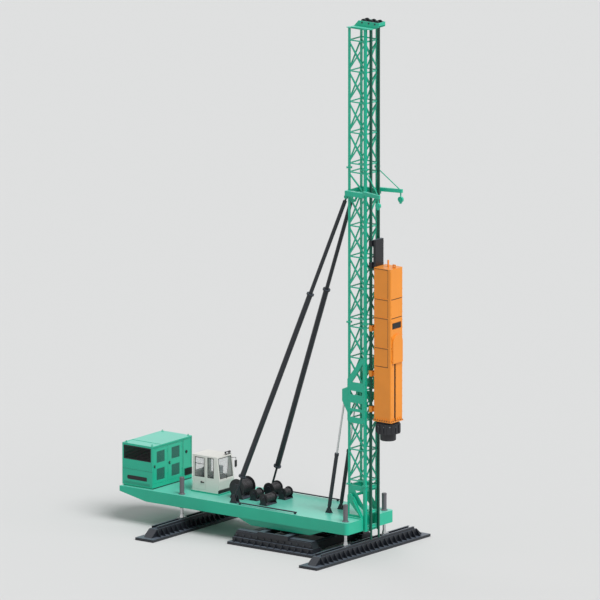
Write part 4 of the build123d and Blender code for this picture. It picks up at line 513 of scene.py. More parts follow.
def bolt_tree():
    """Hexagon heads on washers, one on each point, turned to the point's facing attribute."""
    tree, given = new_tree("hexagon_bolts", (
        ("Points", "Geometry", None, None),
        ("Across flats", "Float", 0.036, "DISTANCE"),
        ("Head height", "Float", 0.022, "DISTANCE"),
    ))
    # The corner radius of a hexagon is its width across the flats over the root of three
    corner, washer_radius, washer_height, lift = (
        add_node(tree, "ShaderNodeMath", {"operation": "MULTIPLY"}, {1: share},
                 {0: given.outputs[size]})
        for size, share in (("Across flats", 3 ** -0.5), ("Across flats", 0.92),
                            ("Head height", 0.4), ("Head height", 0.6)))
    head = add_node(
        tree, "GeometryNodeMeshCylinder", values={"Vertices": 6},
        links={"Radius": corner, "Depth": given.outputs["Head height"]})
    washer = add_node(
        tree, "GeometryNodeMeshCylinder", values={"Vertices": SMALL_SIDES},
        links={"Radius": washer_radius, "Depth": washer_height})
    up = add_node(tree, "ShaderNodeCombineXYZ", links={"Z": lift})
    raised = add_node(
        tree, "GeometryNodeTransform", links={"Geometry": head, "Translation": up})
    both = add_node(tree, "GeometryNodeJoinGeometry", links={0: raised})
    tree.links.new(washer.outputs["Mesh"], both.inputs[0])
    facing = add_node(
        tree, "GeometryNodeInputNamedAttribute", {"data_type": "FLOAT_VECTOR"},
        {"Name": "facing"})
    turn = add_node(
        tree, "FunctionNodeAlignRotationToVector", {"axis": "Z"}, links={"Vector": facing})
    return finish_tree(tree, given, add_node(
        tree, "GeometryNodeInstanceOnPoints",
        links={"Points": given.outputs["Points"], "Instance": both, "Rotation": turn}))


def slat_tree():
    """A row of like slats, from the middle of the first, at a pitch."""
    tree, given = new_tree("slat_row", (
        ("Count", "Int", 6, None),
        ("First middle", "Vector", None, "TRANSLATION"),
        ("Pitch", "Vector", None, "TRANSLATION"),
        ("Slat size", "Vector", None, "TRANSLATION"),
        ("Lean", "Vector", None, "EULER"),
    ))
    row = add_node(
        tree, "GeometryNodeMeshLine", {"mode": "OFFSET"},
        links={"Count": given.outputs["Count"], "Start Location": given.outputs["First middle"],
               "Offset": given.outputs["Pitch"]})
    slat = add_node(tree, "GeometryNodeMeshCube", links={"Size": given.outputs["Slat size"]})
    return finish_tree(tree, given, add_node(
        tree, "GeometryNodeInstanceOnPoints",
        links={"Points": row, "Instance": slat, "Rotation": given.outputs["Lean"]}))


def winding_tree():
    """One layer of rope wound on a core that lies along Y."""
    tree, given = new_tree("rope_winding", (
        ("Turns", "Float", 10.0, None),
        ("Points per turn", "Int", 28, None),
        ("Winding radius", "Float", 0.3, "DISTANCE"),
        ("Rope radius", "Float", 0.013, "DISTANCE"),
        ("Length", "Float", 0.5, "DISTANCE"),
        ("Start", "Vector", None, "TRANSLATION"),
    ))
    spiral = add_node(tree, "GeometryNodeCurveSpiral", links={
        socket: given.outputs[label] for socket, label in (
            ("Resolution", "Points per turn"), ("Rotations", "Turns"), ("Height", "Length"),
            ("Start Radius", "Winding radius"), ("End Radius", "Winding radius"))})
    section = add_node(
        tree, "GeometryNodeCurvePrimitiveCircle", values={"Resolution": 6},
        links={"Radius": given.outputs["Rope radius"]})
    tube = add_node(
        tree, "GeometryNodeCurveToMesh", values={"Fill Caps": True},
        links={"Curve": spiral, "Profile Curve": section})
    return finish_tree(tree, given, add_node(
        tree, "GeometryNodeTransform", values={"Rotation": (math.radians(-90), 0.0, 0.0)},
        links={"Geometry": tube, "Translation": given.outputs["Start"]}))


class Surface:
    """Finds where a straight line meets a CAD node."""

    def __init__(self, node):
        mesh = frame["nodes"][node].data
        self.node = node
        self.sides = BVHTree.FromPolygons(
            [v.co.copy() for v in mesh.vertices], [tuple(p.vertices) for p in mesh.polygons])

    def meet(self, start, direction, reach=3.0):
        """The first point of the node from a start point, and the way back to the start."""
        direction = Vector(direction).normalized()
        hit = self.sides.ray_cast(Vector(start), direction, reach)[0]
        if hit is None:
            raise RuntimeError(f"a fastener at {tuple(start)} misses {self.node}")
        return hit, -direction


def bolts(name, body, places, across, finish, slot_name):
    """Bolts at (point, facing) places, as one piece."""
    settings = bpy.context.scene.rig_fasteners
    mesh = bpy.data.meshes.new(name + "_points")
    mesh.from_pydata([point for point, facing in places], [], [])
    facings = mesh.attributes.new("facing", "FLOAT_VECTOR", "POINT")
    for row, (point, facing) in zip(facings.data, places):
        row.vector = facing
    tree = bpy.data.node_groups.get("hexagon_bolts") or bolt_tree()
    inputs = {"Across flats": across, "Head height": across * settings.head_share}
    return frozen(name, mesh, tree, inputs, body, finish)


def slats(name, count, first, pitch, size, finish, slot_name, lean=0.0):
    """A row of the platform's slats as one piece, leaning about Y."""
    mesh = bpy.data.meshes.new(name + "_points")
    tree = bpy.data.node_groups.get("slat_row") or slat_tree()
    inputs = {
        "Count": count, "First middle": first, "Pitch": pitch, "Slat size": size,
        "Lean": (0, lean, 0)}
    return frozen(name, mesh, tree, inputs, "platform", finish)


class RIG_OT_stage(bpy.types.Operator):
    """Sets up the floor, the light and the camera."""
    bl_idname = "rig.stage"
    bl_label = "Stage"

    def execute(self, context):
        settings = context.scene.rig_stage
        context.scene.view_settings.view_transform = "Standard"
        self.add_floor(settings)
        self.add_light(context, settings)
        self.add_camera(context, settings)
        return {"FINISHED"}

    def add_floor(self, settings):
        half = settings.floor_size / 2
        mesh = bpy.data.meshes.new("floor")
        corners = [(-half, -half, 0), (half, -half, 0), (half, half, 0), (-half, half, 0)]
        mesh.from_pydata(corners, [], [(0, 1, 2, 3)])
        floor = in_scene("floor", mesh)
        screed = new_material("pale_screed")[0]
        mesh.materials.append(surfaced(screed, None, [linear_colour("#CBCCCC")], [0.9]))

    def add_light(self, context, settings):
        world = bpy.data.worlds.new("studio")
        world.use_nodes = True
        tree = world.node_tree
        tree.nodes.clear()
        plain = add_node(
            tree, "ShaderNodeBackground",
            values={"Color": (1.0, 1.0, 1.0, 1.0), "Strength": settings.fill_strength})
        # Camera, metal and glass see a plain wall, whatever the light's strength
        seen = add_node(
            tree, "ShaderNodeBackground",
            values={"Color": linear_colour("#DADADA"), "Strength": 1.0})
        path = add_node(tree, "ShaderNodeLightPath")
        shown = path.outputs["Is Camera Ray"]
        for ray in ("Is Glossy Ray", "Is Transmission Ray"):
            shown = add_node(
                tree, "ShaderNodeMath", {"operation": "MAXIMUM"},
                links={0: shown, 1: path.outputs[ray]})
        mixed = add_node(tree, "ShaderNodeMixShader", links={0: shown, 1: plain, 2: seen})
        add_node(tree, "ShaderNodeOutputWorld", links={"Surface": mixed})
        context.scene.world = world
        for name, strength, towards in (
            ("key_sun", settings.key_strength, (0.56, -0.12, 0.80)),
            ("rim_sun", settings.key_strength / 8, (-0.7, 0.3, 0.6)),
        ):
            lamp = bpy.data.lights.new(name, "SUN")
            lamp.energy = strength
            lamp.angle = math.radians(38)
            holder = in_scene(name, lamp)
            holder.rotation_euler = Vector(towards).to_track_quat("Z", "Y").to_euler()

    def add_camera(self, context, settings):
        turn, tilt = settings.azimuth, settings.elevation
        across = Vector((math.cos(turn), math.sin(turn), 0))
        ahead = Vector((
            -math.sin(turn) * math.cos(tilt), math.cos(turn) * math.cos(tilt), -math.sin(tilt)))
        low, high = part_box("leg_rod_front_right")
        legs = Vector(((low.x + high.x) / 2, 0, settings.target_height))
        target = legs - across * settings.target_back
        camera = bpy.data.cameras.new("camera")
        camera.sensor_width = 36.0
        camera.lens = camera.sensor_width * settings.distance / settings.view_width
        camera.clip_end = 3000.0
        camera.dof.use_dof = False
        holder = in_scene("camera", camera)
        holder.location = target - ahead * settings.distance
        holder.rotation_euler = ahead.to_track_quat("-Z", "Y").to_euler()
        context.scene.camera = holder


class RIG_OT_paint(bpy.types.Operator):
    """Makes every finish and gives each solid the one of its slot."""
    bl_idname = "rig.paint"
    bl_label = "Paint"

    def execute(self, context):
        colours = context.scene.rig_paint
        # Paler tints painted on up-facing faces: painted light on the green tops, painted sheen on
        # the slate and black tops
        green_top_light, slate_top_sheen, black_top_sheen = "#A9EBE6", "#6F7A88", "#5F6B7A"
        black, primer = linear_colour("#16181E"), linear_colour("#4C4F54")
        finishes = {
            "green_paint": enamel("green_enamel", colours.green, 0.30, 0.12, green_top_light, 0.33),
            "louvre_teal": enamel("louvre_enamel", colours.louvre, 0.42),
            "slate_paint": enamel("slate_enamel", colours.slate, 0.40, 0.12, slate_top_sheen, 0.5),
            "grey_paint": enamel("grey_enamel", colours.grey, 0.45),
            "rod_steel": bright_metal("hard_chrome", "#C9CBCC", 0.22, 60.0),
            "orange_paint": enamel("orange_enamel", colours.orange, 0.34),
            "frame_paint": enamel("black_enamel", black, 0.38, 0.12, black_top_sheen, 0.55),
            "dark_cast": moulded("cast_iron", "#1A1B20", 0.5, 60.0),
            "rope_dark": moulded("drum_iron", "#1A191D", 0.5, 60.0),
            "cab_paint": enamel("cab_enamel", colours.cab, 0.3, 0.05),
            "glass": safety_glass("safety_glass"),
            "trim_dark": moulded("moulded_abs", "#111214", 0.5, 160.0),
            "engine_grey": enamel("engine_enamel", primer, 0.55),
        }
        for slot_name, material in finishes.items():
            paint(slot_nodes(slot_name), material)
        # The guides' necks start 70 mm in front of the mast's front chords
        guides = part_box("mast_side_plates")[1].x + 0.07
        # In front of the guides' necks the mast's green is made much darker
        paint(MAST_PARTS, enamel(
            "dark_fronted_green_enamel", colours.green, 0.30, 0.12, green_top_light, 0.3, guides))
        moulded("window_rubber", "#0E0F10", 0.6, 200.0)
        bright_metal("zinc_plate", "#8E9194", 0.38, 90.0)
        bright_metal("lamp_mirror", "#E4E6E6", 0.08, 20.0)
        stranded_rope("wire_rope")
        woven_cloth("seat_cloth")
        return {"FINISHED"}


class RIG_OT_bolts(bpy.types.Operator):
    """Adds the bolts of the mast, hammer, legs, stays, cylinders, winches and mast hinge."""
    bl_idname = "rig.bolts"
    bl_label = "Bolts"

    def execute(self, context):
        size = context.scene.rig_fasteners
        self.mast(size)
        self.hammer(size)
        self.legs(size)
        self.stays(size)
        self.deck(size)
        return {"FINISHED"}

    def mast(self, size):
        low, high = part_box("mast_section_lower")
        flange_half, corner, clear = 0.1, 0.079, 0.06
        reach = high.y - flange_half
        rear = low.x + flange_half
        chords = [(x, y) for x in (rear, rear + 2 * reach) for y in (-reach, reach)]
        joints = [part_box("mast_base")[1].z] + [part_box(part)[0].z for part in MAST_PARTS[2:]]
        places = []
        for below, above, joint in zip(MAST_PARTS, MAST_PARTS[1:], joints):
            upper, lower = Surface(above), Surface(below)
            for x, y in chords:
                for a, b in CORNERS:
                    spot = x + a * corner, y + b * corner
                    places.append(upper.meet((*spot, joint + clear), DOWN))
                    places.append(lower.meet((*spot, joint - clear), UP))
        plates = Surface("mast_side_plates")
        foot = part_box("mast_side_plates")[0].z
        for turn in (-1, 1):
            for z in stations(foot + 0.1, foot + 1.9, 8):
                for x, y in chords[::2]:
                    places.append(plates.meet((x, turn * 1.2, z), (0, -turn, 0)))
        bolts("mast_bolts", "mast", places, size.flange_bolt, *GREEN)

    def hammer(self, size):
        low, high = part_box("hammer_housing")
        body = Surface("hammer_housing")
        face = high.x - HAMMER_COVER_DEPTH
        middle = face - HAMMER_DEPTH / 2
        # Half the spacing of the bolt rows on the sides and in front
        side_reach, front_reach = 0.44, 0.43
        places = []
        for z in stations(low.z + 0.45, low.z + 7.2, 19):
            for turn in (-1, 1):
                for x in (middle - side_reach, middle + side_reach):
                    places.append(body.meet((x, turn * 1.5, z), (0, -turn, 0)))
                places.append(body.meet((9.0, turn * front_reach, z), (-1, 0, 0)))
        bolts("hammer_panel_bolts", "hammer", places, size.panel_bolt, *ORANGE)
        # The bolts go through the foot flange, which stands about 25 mm out all round
        level = low.z + 0.3
        places = []
        side, front = 0.484, face + 0.013
        for step in stations(-0.42, 0.42, 7):
            for turn in (-1, 1):
                places.append(body.meet((middle + step, turn * side, level), DOWN))
            places.append(body.meet((front, step, level), DOWN))
        bolts("hammer_flange_bolts", "hammer", places, size.flange_bolt,
              "black_enamel", "frame_paint")
        cap = Surface("drive_cap")
        low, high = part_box("drive_cap")
        centre = Vector(((low.x + high.x) / 2, 0, high.z - 0.22))
        ways = [Vector((*way, 0)) for way in circle(12, 15)]
        places = [cap.meet(centre + way * 1.2, -way) for way in ways]
        bolts("drive_cap_bolts", "hammer", places, size.flange_bolt, "zinc_plate", "frame_paint")

    def legs(self, size):
        barrels = Surface("leg_sleeves")
        low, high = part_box("leg_sleeves")
        reach, level = 0.085, high.z + 0.3
        places = [
            barrels.meet((x + reach * cosine, y + reach * sine, level), DOWN)
            for x, y in inset_corners(low, high, LEG_RADIUS)
            for cosine, sine in circle(8)]
        bolts("leg_barrel_bolts", "platform", places, size.panel_bolt, "zinc_plate", "grey_paint")

    def stays(self, size):
        # Node, pins, levels of the bolt circles from the foot pin, their radius, bolts in each
        cylinders = (
            ("stay_tube", STAY_FOOT, STAY_TOP, (0.95, 1.25, 10.9, 11.2), 0.158, 12),
            ("erector_barrel", ERECTOR_FOOT, ERECTOR_TOP, (3.1,), 0.082, 8))
        for side_name, turn in SIDES:
            for part_name, foot, top, levels, reach, count in cylinders:
                node = f"{part_name}_{side_name}"
                tube = Surface(node)
                start, end = (Vector((pin.x, pin.y * turn, pin.z)) for pin in (foot, top))
                along = (end - start).normalized()
                aside = along.orthogonal().normalized()
                over = along.cross(aside)
                places = []
                for n, level in enumerate(levels):
                    way = along if n % 2 == 0 and part_name == "stay_tube" else -along
                    for cosine, sine in circle(count):
                        spread = (aside * cosine + over * sine) * reach
                        places.append(tube.meet(start + along * level + spread, way))
                bolts(node + "_bolts", node, places, size.panel_bolt,
                      "slate_enamel", "slate_paint")

    def deck(self, size):
        frames = Surface("winch_frames")
        places = []
        for name in DRUMS:
            low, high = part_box("winch_drum_" + name)
            middle = (low + high) / 2
            # Inside the drum's length by 150 mm at each end, at 0.72 of its radius
            x_reach, y_reach = 0.72 * (high.z - low.z) / 2, (high.y - low.y - 0.3) / 2
            for a, b in CORNERS:
                start = (middle.x + a * x_reach, middle.y + b * y_reach, low.z - 0.005)
                places.append(frames.meet(start, DOWN))
        bolts("winch_sole_bolts", "platform", places, size.flange_bolt, "zinc_plate", "dark_cast")
        brackets = Surface("mast_hinge_brackets")
        x, z = MAST_HINGE
        reach = 0.108
        places = [
            brackets.meet((x + reach * cosine, turn * 1.2, z + reach * sine), (0, -turn, 0))
            for turn in (-1, 1) for cosine, sine in circle(6, 30)]
        bolts("hinge_bolts", "platform", places, size.panel_bolt, *GREEN)


class RIG_OT_drum_ropes(bpy.types.Operator):
    """Winds a layer of wire rope on each winch drum."""
    bl_idname = "rig.drum_ropes"
    bl_label = "Drum ropes"

    def execute(self, context):
        settings = context.scene.rig_ropes
        radius = settings.diameter / 2
        tree = winding_tree()
        for name in DRUMS:
            low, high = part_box("winch_drum_" + name)
            middle = (low + high) / 2
            flange = (high.z - low.z) / 2
            # The axle ends 75 mm outside the drum, whose flanges are 30 mm thick
            half = (high.y - low.y) / 2 - 0.075 - 0.03 - 1.2 * radius
            inputs = {
                "Turns": 2 * half / (2.1 * radius), "Points per turn": settings.points_per_turn,
                "Winding radius": flange * settings.core_share + 0.9 * radius,
                "Rope radius": radius, "Length": 2 * half,
                "Start": (middle.x, middle.y - half, middle.z),
            }
            mesh = bpy.data.meshes.new("winding_start")
            frozen("drum_rope_" + name, mesh, tree, inputs, "winch_drum_" + name,
                   "wire_rope")
        return {"FINISHED"}


class RIG_OT_power_pack(bpy.types.Operator):
    """Adds the power pack's latches, vent, port, blank plate, slits, seams and lifting eyes."""
    bl_idname = "rig.power_pack"
    bl_label = "Power pack trim"

    def execute(self, context):
        low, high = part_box("power_pack_housing")
        for side_name in ("right", "left"):
            self.latch("latch_" + side_name, "power_pack_door_" + side_name)
        self.vent(context.scene.rig_trim.slat_pitch, high.x)
        # Sight port: a ring with a dark plug
        shape = bmesh.new()
        y, z = 1.025, 3.17
        ring(shape, (high.x, y, z), (1, 0, 0),
             ((0.05, -0.02), (0.072, -0.02), (0.072, 0.008), (0.062, 0.014), (0.05, 0.008)))
        bar(shape, (high.x - 0.03, y, z), (high.x + 0.004, y, z), 0.052, ROUND_SIDES)
        finish_piece("sight_port", shape, "platform", *TRIM)
        # Blank plate in its recess, on a dark bed
        box_piece("blank_plate", "platform", *TRIM, 0.012, (
            (-7.34, low.y + 0.003, 2.125, -6.16, low.y + 0.011, 2.315),
            (-7.30, low.y - 0.004, 2.155, -6.28, low.y + 0.004, 2.285)))
        slats("air_slits", 34, (-7.50, low.y + 0.001, 1.955), (0.0455, 0, 0),
              (0.016, 0.006, 0.13), *LOUVRE)
        # Black strips set deep in the inset at the pack's foot on the +X face: painted shade of the
        # inset
        slats("skid_inset_shade", 6, (high.x - 0.028, -1.39, 1.803), (0, 0.52, 0),
              (0.02, 0.49, 0.04), *TRIM)
        # Darker strips on the seams between the panels, painted shade of the grooves there: two
        # upright and one level in front, one on the right
        back, front = high.x - 0.002, high.x + 0.004
        box_piece("panel_seam_shade", "platform", *LOUVRE, 0.001, (
            (back, 0.752, 1.86, front, 0.764, 3.84),
            (back, 1.40, 2.46, front, 1.412, 3.84),
            (back, low.y + 0.02, 3.80, front, high.y - 0.02, 3.812),
            (low.x + 0.02, low.y - 0.004, 2.62, high.x - 0.02, low.y + 0.002, 2.632)))
        shape = bmesh.new()
        for x, y in inset_corners(low, high, 0.14):
            blocks(shape, [(-0.06, -0.03, -0.002, 0.06, 0.03, 0.012)], (x, y, high.z))
            ring(shape, (x, y, high.z + 0.045), (0, 1, 0),
                 ((0.024, -0.009), (0.042, -0.009), (0.042, 0.009), (0.024, 0.009)), 16)
        finish_piece("lifting_eyes", shape, "platform", *GREEN, 0.002)
        housing = Surface("power_pack_housing")
        places = [
            housing.meet((x, low.y - 1, z), (0, 1, 0))
            for x in stations(low.x + 0.04, high.x - 0.04, 8) for z in (3.82, 2.70)]
        bolts(
            "pack_screws", "platform", places, context.scene.rig_fasteners.panel_bolt, *GREEN)
        return {"FINISHED"}

    def vent(self, pitch, face):
        """A vent in the third panel, behind its opening."""
        left, right, foot, head = 0.895, 1.455, 2.015, 2.345
        wide, tall = right - left, head - foot
        shape = bmesh.new()
        window_rubber(
            shape, (face + 0.001, left, foot), (0, wide, 0), (0, 0, tall), 0.022, 0.008)
        finish_piece("vent_frame", shape, "platform", *TRIM, 0.002)
        slats("vent_slats", int(tall / pitch),
              (face - 0.01, (left + right) / 2, foot + pitch / 2), (0, 0, pitch),
              (0.03, wide - 0.01, 0.008), *TRIM, math.radians(35))

    def latch(self, name, door):
        """A round boss and a bar on the handle, which is the foremost part of the door."""
        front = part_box(door)[1].x
        tips = [v.co for v in frame["nodes"][door].data.vertices if v.co.x > front - 0.002]
        middle = sum(tips, Vector()) / len(tips)
        middle.x = front - 0.03
        shape = bmesh.new()
        ring(shape, middle, (1, 0, 0), (
            (0.0405, -0.001), (0.068, -0.001), (0.068, 0.006), (0.056, 0.016), (0.0405, 0.033)))
        blocks(shape, [(0.028, -0.018, -0.075, 0.044, 0.018, 0.075)], middle)
        finish_piece(name, shape, door, *TRIM, 0.004)


class RIG_OT_cab(bpy.types.Operator):
    """Adds the cab's window rubbers, lamps, bumper, mirror, wiper, door pull and seat."""
    bl_idname = "rig.cab"
    bl_label = "Cab trim"

    def execute(self, context):
        settings = context.scene.rig_trim
        low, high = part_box("cab_shell")
        self.rubbers(settings.gasket_width, low, high)
        self.lamps(settings.lamp_size, high)
        self.outside(low, high)
        self.door_pull(low.y)
        self.seat()
        return {"FINISHED"}

    def screen_x(self, high, z):
        """Where the leaning windscreen is at a level."""
        return high.x - (z - SCREEN_FOOT) * SCREEN_LEAN / (high.z - SCREEN_FOOT)

    def rubbers(self, width, low, high):
        tall = WINDOW_HEAD - WINDOW_SILL
        foot_x, head_x = self.screen_x(high, WINDOW_SILL), self.screen_x(high, WINDOW_HEAD)
        shape = bmesh.new()
        # Right, left and rear windows and the windscreen: corner, edge across and edge up
        for corner, across, up in (
            ((-3.23, low.y, WINDOW_SILL), (0.37, 0, 0), (0, 0, tall)),
            ((-2.88, high.y, WINDOW_SILL), (-1.05, 0, 0), (0, 0, tall)),
            ((low.x, 0.28, WINDOW_SILL + 0.2), (0, -0.78, 0), (0, 0, tall - 0.2)),
            ((foot_x, low.y + 0.08, WINDOW_SILL), (0, high.y - low.y - 0.16, 0),
             (head_x - foot_x, 0, tall)),
        ):
            window_rubber(shape, corner, across, up, width, RUBBER_PROUD)
        finish_piece("window_rubbers", shape, "platform", *RUBBER, 0.002)
        pane_low, pane_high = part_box("cab_door_glass")
        pane = pane_high - pane_low
        shape = bmesh.new()
        window_rubber(
            shape, (pane_low.x, low.y, pane_low.z), (pane.x, 0, 0), (0, 0, pane.z), width,
            RUBBER_PROUD)
        bar_z = pane_low.z + 0.66 * pane.z
        blocks(shape, [
            (pane_low.x, low.y - 0.004, bar_z, pane_high.x, low.y + 0.012, bar_z + 0.022)])
        finish_piece("door_rubber", shape, "cab_door", *RUBBER, 0.002)

    def lamps(self, size, high):
        half, roof_x = size / 2, high.x - 0.15
        shell, lens = bmesh.new(), bmesh.new()
        for y in (0.04, 0.26, 0.41 - size):
            middle = (roof_x - 0.04, y + half, high.z + 0.10)
            # Case, rear cap and foot
            blocks(shell, (
                (-0.05, -half, -0.05, 0.035, half, 0.05),
                (-0.075, 0.02 - half, -0.035, -0.045, half - 0.02, 0.035),
                (-0.012, -0.02, -0.105, 0.012, 0.02, -0.045)), middle)
            blocks(lens, [(0.030, 0.014 - half, -0.038, 0.039, half - 0.014, 0.038)], middle)
        blocks(shell, [(roof_x - 0.06, 0.0, high.z - 0.004, roof_x - 0.01, 0.44, high.z + 0.02)])
        finish_piece("work_lamps", shell, "platform", *TRIM, 0.008)
        finish_piece("lamp_lenses", lens, "platform", "lamp_mirror", "glass", 0.003)

    def outside(self, low, high):
        box_piece("cab_bumper", "platform", *TRIM, 0.01, (
            (high.x - 0.075, low.y - 0.004, 1.845, high.x - 0.015, high.y + 0.004, 1.985),
            (high.x - 0.06, low.y + 0.02, 1.99, high.x - 0.035, high.y - 0.02, 2.01)))
        shape = bmesh.new()
        elbow = Vector((high.x + 0.06, high.y + 0.06, 3.44))
        bar(shape, (high.x - 0.13, high.y - 0.05, 3.42), elbow, 0.012)
        bar(shape, elbow, elbow - Vector((0, 0, 0.52)), 0.012)
        blocks(shape, [(-0.018, -0.09, -0.46, 0.018, 0.07, -0.14)], elbow)
        finish_piece("cab_mirror", shape, "platform", *TRIM, 0.006)
        # Wiper: arm, blade and spindle
        shape = bmesh.new()
        pivot = Vector((high.x - 0.018, -0.11, 2.53))
        tip_z = 3.22
        tip = Vector((self.screen_x(high, tip_z) + 0.004, 0.16, tip_z))
        bar(shape, pivot, pivot.lerp(tip, 0.55), 0.010)
        bar(shape, pivot.lerp(tip, 0.25), tip, 0.008)
        bar(shape, pivot - Vector((0.02, 0, 0)), pivot + Vector((0.016, 0, 0)), 0.025)
        finish_piece("cab_wiper", shape, "platform", *TRIM)

    def door_pull(self, wall_y):
        """A grip and its plate on the door's handle, the part furthest towards -Y."""
        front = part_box("cab_door")[0].y
        tips = [v.co for v in frame["nodes"]["cab_door"].data.vertices if v.co.y < front + 0.002]
        left, right = min(p.x for p in tips), max(p.x for p in tips)
        below, above = min(p.z for p in tips), max(p.z for p in tips)
        inner = wall_y + 0.001
        box_piece("door_pull", "cab_door", *TRIM, 0.006, (
            (left - 0.012, front - 0.004, below - 0.006, right + 0.012, inner, above + 0.006),
            (left - 0.03, wall_y - 0.006, below - 0.03, left + 0.05, inner, above + 0.03)))

    def seat(self):
        low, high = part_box("cab_seat")
        rear = Vector((low.x, (low.y + high.y) / 2, low.z))
        # Half sizes, sewn channels, middle from the seat's rear foot, and lean
        for name, half, middle, lean in (
            ("seat_cushion", (0.29, 0.245, 0.065), (0.37, 0, 0.395), 0),
            ("seat_back", (0.32, 0.24, 0.055), (0.085, 0, 0.74), -82),
        ):
            pad = cushion(half, 5)
            pad.transform(
                Matrix.Translation(rear + Vector(middle))
                @ Matrix.Rotation(math.radians(lean), 4, "Y"))
            piece = finish_piece(name, pad, "platform", "seat_cloth", "trim_dark", smooth=True)
        shape = bmesh.new()
        centre = rear + Vector((0.36, 0, 0))
        folds = [(0.13 - 0.012 * (n % 2), 0.05 + 0.05 * n) for n in range(5)]
        # Foot, folds of the suspension and seat pan
        blocks(shape, [
            (-0.20, -0.19, 0, 0.20, 0.19, 0.05),
            *((-half, -half, step, half, half, step + 0.045) for half, step in folds),
            (-0.22, -0.21, 0.30, 0.22, 0.21, 0.335)], centre)
        for turn in (-1, 1):
            y = turn * 0.31
            # Armrest, its post and the post's carrier, then the lever and its knob
            blocks(shape, (
                (-0.16, y - 0.05, 0.42, 0.24, y + 0.05, 0.56),
                (-0.06, y - 0.03, 0.30, 0.08, y + 0.03, 0.43),
                (-0.04, min(y, turn * 0.2), 0.305, 0.06, max(y, turn * 0.2), 0.33)), centre)
            for foot, tip, radius, end_radius in (
                ((0.16, y, 0.55), (0.18, y, 0.68), 0.012, 0.012),
                ((0.178, y, 0.66), (0.20, y, 0.76), 0.024, 0.018),
            ):
                bar(shape, centre + Vector(foot), centre + Vector(tip), radius, SMALL_SIDES,
                    end_radius)
        piece = finish_piece("seat_frame", shape, "platform", *TRIM, 0.006)
        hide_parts("cab_seat")


def cushion(half, channels):
    """A crowned pad with pulled-in edges and sewn channels across it, flat about the origin."""
    across, along = 40, 28
    half = Vector(half)
    shape = bmesh.new()

    def bulge(value, power=0.38):
        return math.copysign(abs(value) ** power, value)

    rows = []
    for n in range(1, along):
        tilt = -math.pi / 2 + math.pi * n / along
        row = []
        for k in range(2 * across):
            turn = math.pi * k / across
            x = half.x * bulge(math.cos(tilt)) * bulge(math.cos(turn))
            y = half.y * bulge(math.cos(tilt)) * bulge(math.sin(turn))
            z = half.z * bulge(math.sin(tilt), 0.7)
            sewn = sum(
                math.exp(-((x - half.x * (2 * c / (channels + 1) - 1)) / 0.010) ** 2)
                for c in range(1, channels + 1))
            z *= 1 - 0.22 * sewn * (1 if z > 0 else 0)
            row.append(shape.verts.new((x, y, z)))
        rows.append(row)
    for low_row, high_row in zip(rows, rows[1:]):
        for k in range(2 * across):
            m = (k + 1) % (2 * across)
            shape.faces.new((low_row[k], low_row[m], high_row[m], high_row[k]))
    for row, below in ((rows[0], True), (rows[-1], False)):
        pole = shape.verts.new(sum((v.co for v in row), Vector()) / len(row))
        for this, following in zip(row, row[1:] + row[:1]):
            shape.faces.new((following, this, pole) if below else (this, following, pole))
    return shape


class RIG_OT_hammer(bpy.types.Operator):
    """Adds the hammer's pipes, plain strip, dark strips of painted shadow and cover hinges."""
    bl_idname = "rig.hammer"
    bl_label = "Hammer trim"

    def execute(self, context):
        low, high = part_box("hammer_housing")
        face = high.x - HAMMER_COVER_DEPTH
        shape = bmesh.new()
        for y in (-0.165, -0.105):
            bar(shape, (face - 0.03, y, low.z + 0.10), (face - 0.03, y, 9.53), 0.018)
        blocks(shape, [
            (face - 0.06, -0.195, z, face - 0.006, -0.075, z + 0.05)
            for z in stations(low.z + 0.5, 9.2, 6)])
        finish_piece("hammer_pipes", shape, "hammer", *TRIM, 0.003)
        box_piece("hammer_strip", "hammer", *TRIM, 0.004, (
            (face - 0.012, -0.335, 11.225, face - 0.002, 0.335, 11.505),
            (face - 0.012, -0.31, 11.25, face + 0.004, 0.31, 11.48)))
        self.shadow_strips(face, low.z + HAMMER_HEIGHT)
        shape = bmesh.new()
        for z in COVER_HINGES:
            bar(shape, (face + 0.03, -0.392, z - 0.05), (face + 0.03, -0.392, z + 0.05), 0.018)
            blocks(shape, [(face - 0.002, -0.43, z - 0.04, face + 0.012, -0.38, z + 0.04)])
        finish_piece("cover_hinges", shape, "hammer", *ORANGE, 0.003)
        return {"FINISHED"}

    def shadow_strips(self, face, top):
        """Dark strips of painted shadow round the side panels, which lie 14 mm deep, and in the
        front seams.
        """
        rear, front = face - HAMMER_DEPTH + 0.05, face - 0.17
        levels = (*HAMMER_SEAMS, top)
        rows = []
        for turn in (-1, 1):
            inner, outer = sorted((turn * 0.455, turn * 0.467))
            rows.append((rear, inner, levels[0] + 0.026, front, outer, levels[0] + 0.051))
            for below, above in zip(levels, levels[1:]):
                rows.append((rear, inner, above - 0.051, front, outer, above - 0.026))
                rows.append(
                    (front - 0.022, inner, below + 0.026, front - 0.001, outer, above - 0.052))
        rows += [
            (face - 0.017, -0.40, z - 0.014, face - 0.004, 0.40, z + 0.014)
            for z in HAMMER_SEAMS[1:]]
        # Painted shadow: dark strips under each band and along the front edge of the recessed side
        # panels, and in the front seams
        box_piece("hammer_shadow_strips", "hammer", *RUBBER, 0.0, rows)


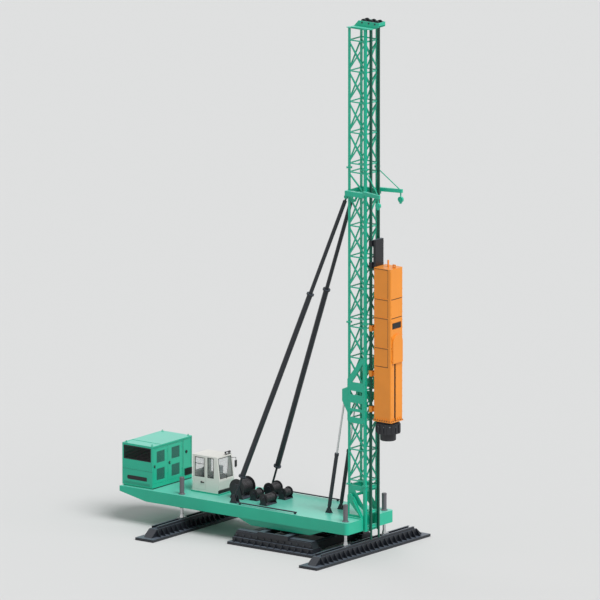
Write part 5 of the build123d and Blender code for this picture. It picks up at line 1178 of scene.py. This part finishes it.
class RIG_OT_leg_collars(bpy.types.Operator):
    """Adds the leg barrels' collars on the deck, bands at their heads and glands below."""
    bl_idname = "rig.leg_collars"
    bl_label = "Leg collars"

    def execute(self, context):
        low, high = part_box("leg_sleeves")
        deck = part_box("platform_hull")[1].z - 0.06
        # Collar, band and gland: level, and profile of radius and height
        rings = (
            (deck, ((0.1155, 0.0), (0.165, 0.0), (0.165, 0.022), (0.128, 0.034), (0.1155, 0.06))),
            (high.z, ((0.1152, -0.07), (0.124, -0.07), (0.124, -0.03), (0.1152, -0.03))),
            (low.z, ((0.082, -0.03), (0.108, -0.03), (0.122, 0.0), (0.122, 0.035),
                     (0.1152, 0.035), (0.1152, 0.0), (0.082, 0.0))),
        )
        shape = bmesh.new()
        for x, y in inset_corners(low, high, LEG_RADIUS):
            for level, profile in rings:
                ring(shape, (x, y, level), UP, profile)
        finish_piece("leg_collars", shape, "platform", "grey_enamel", "grey_paint")
        return {"FINISHED"}


class RIG_PT_panel(bpy.types.Panel):
    """Lists the steps that dress the rig."""
    bl_label = "Pile rig"
    bl_idname = "RIG_PT_panel"
    bl_space_type = "VIEW_3D"
    bl_region_type = "UI"
    bl_category = "Pile rig"

    def draw(self, context):
        for step in STEPS:
            self.layout.operator(step.bl_idname)


SETTINGS = (
    ("rig_stage", RigStageSettings), ("rig_paint", RigPaintSettings),
    ("rig_fasteners", RigFastenerSettings), ("rig_ropes", RigRopeSettings),
    ("rig_trim", RigTrimSettings),
)
STEPS = (
    RIG_OT_stage, RIG_OT_paint, RIG_OT_bolts, RIG_OT_drum_ropes, RIG_OT_power_pack, RIG_OT_cab,
    RIG_OT_hammer, RIG_OT_leg_collars,
)


def register():
    for name, group in SETTINGS:
        bpy.utils.register_class(group)
        setattr(bpy.types.Scene, name, PointerProperty(type=group))
    for step in (*STEPS, RIG_PT_panel):
        bpy.utils.register_class(step)


def unregister():
    for step in (*STEPS, RIG_PT_panel):
        bpy.utils.unregister_class(step)
    for name, group in SETTINGS:
        delattr(bpy.types.Scene, name)
        bpy.utils.unregister_class(group)


def main():
    register()
    bpy.ops.rig.stage()
    bpy.ops.rig.paint()
    bpy.ops.rig.bolts()
    bpy.ops.rig.drum_ropes()
    bpy.ops.rig.power_pack()
    bpy.ops.rig.cab()
    bpy.ops.rig.hammer()
    bpy.ops.rig.leg_collars()


if __name__ == "__main__":
    main()
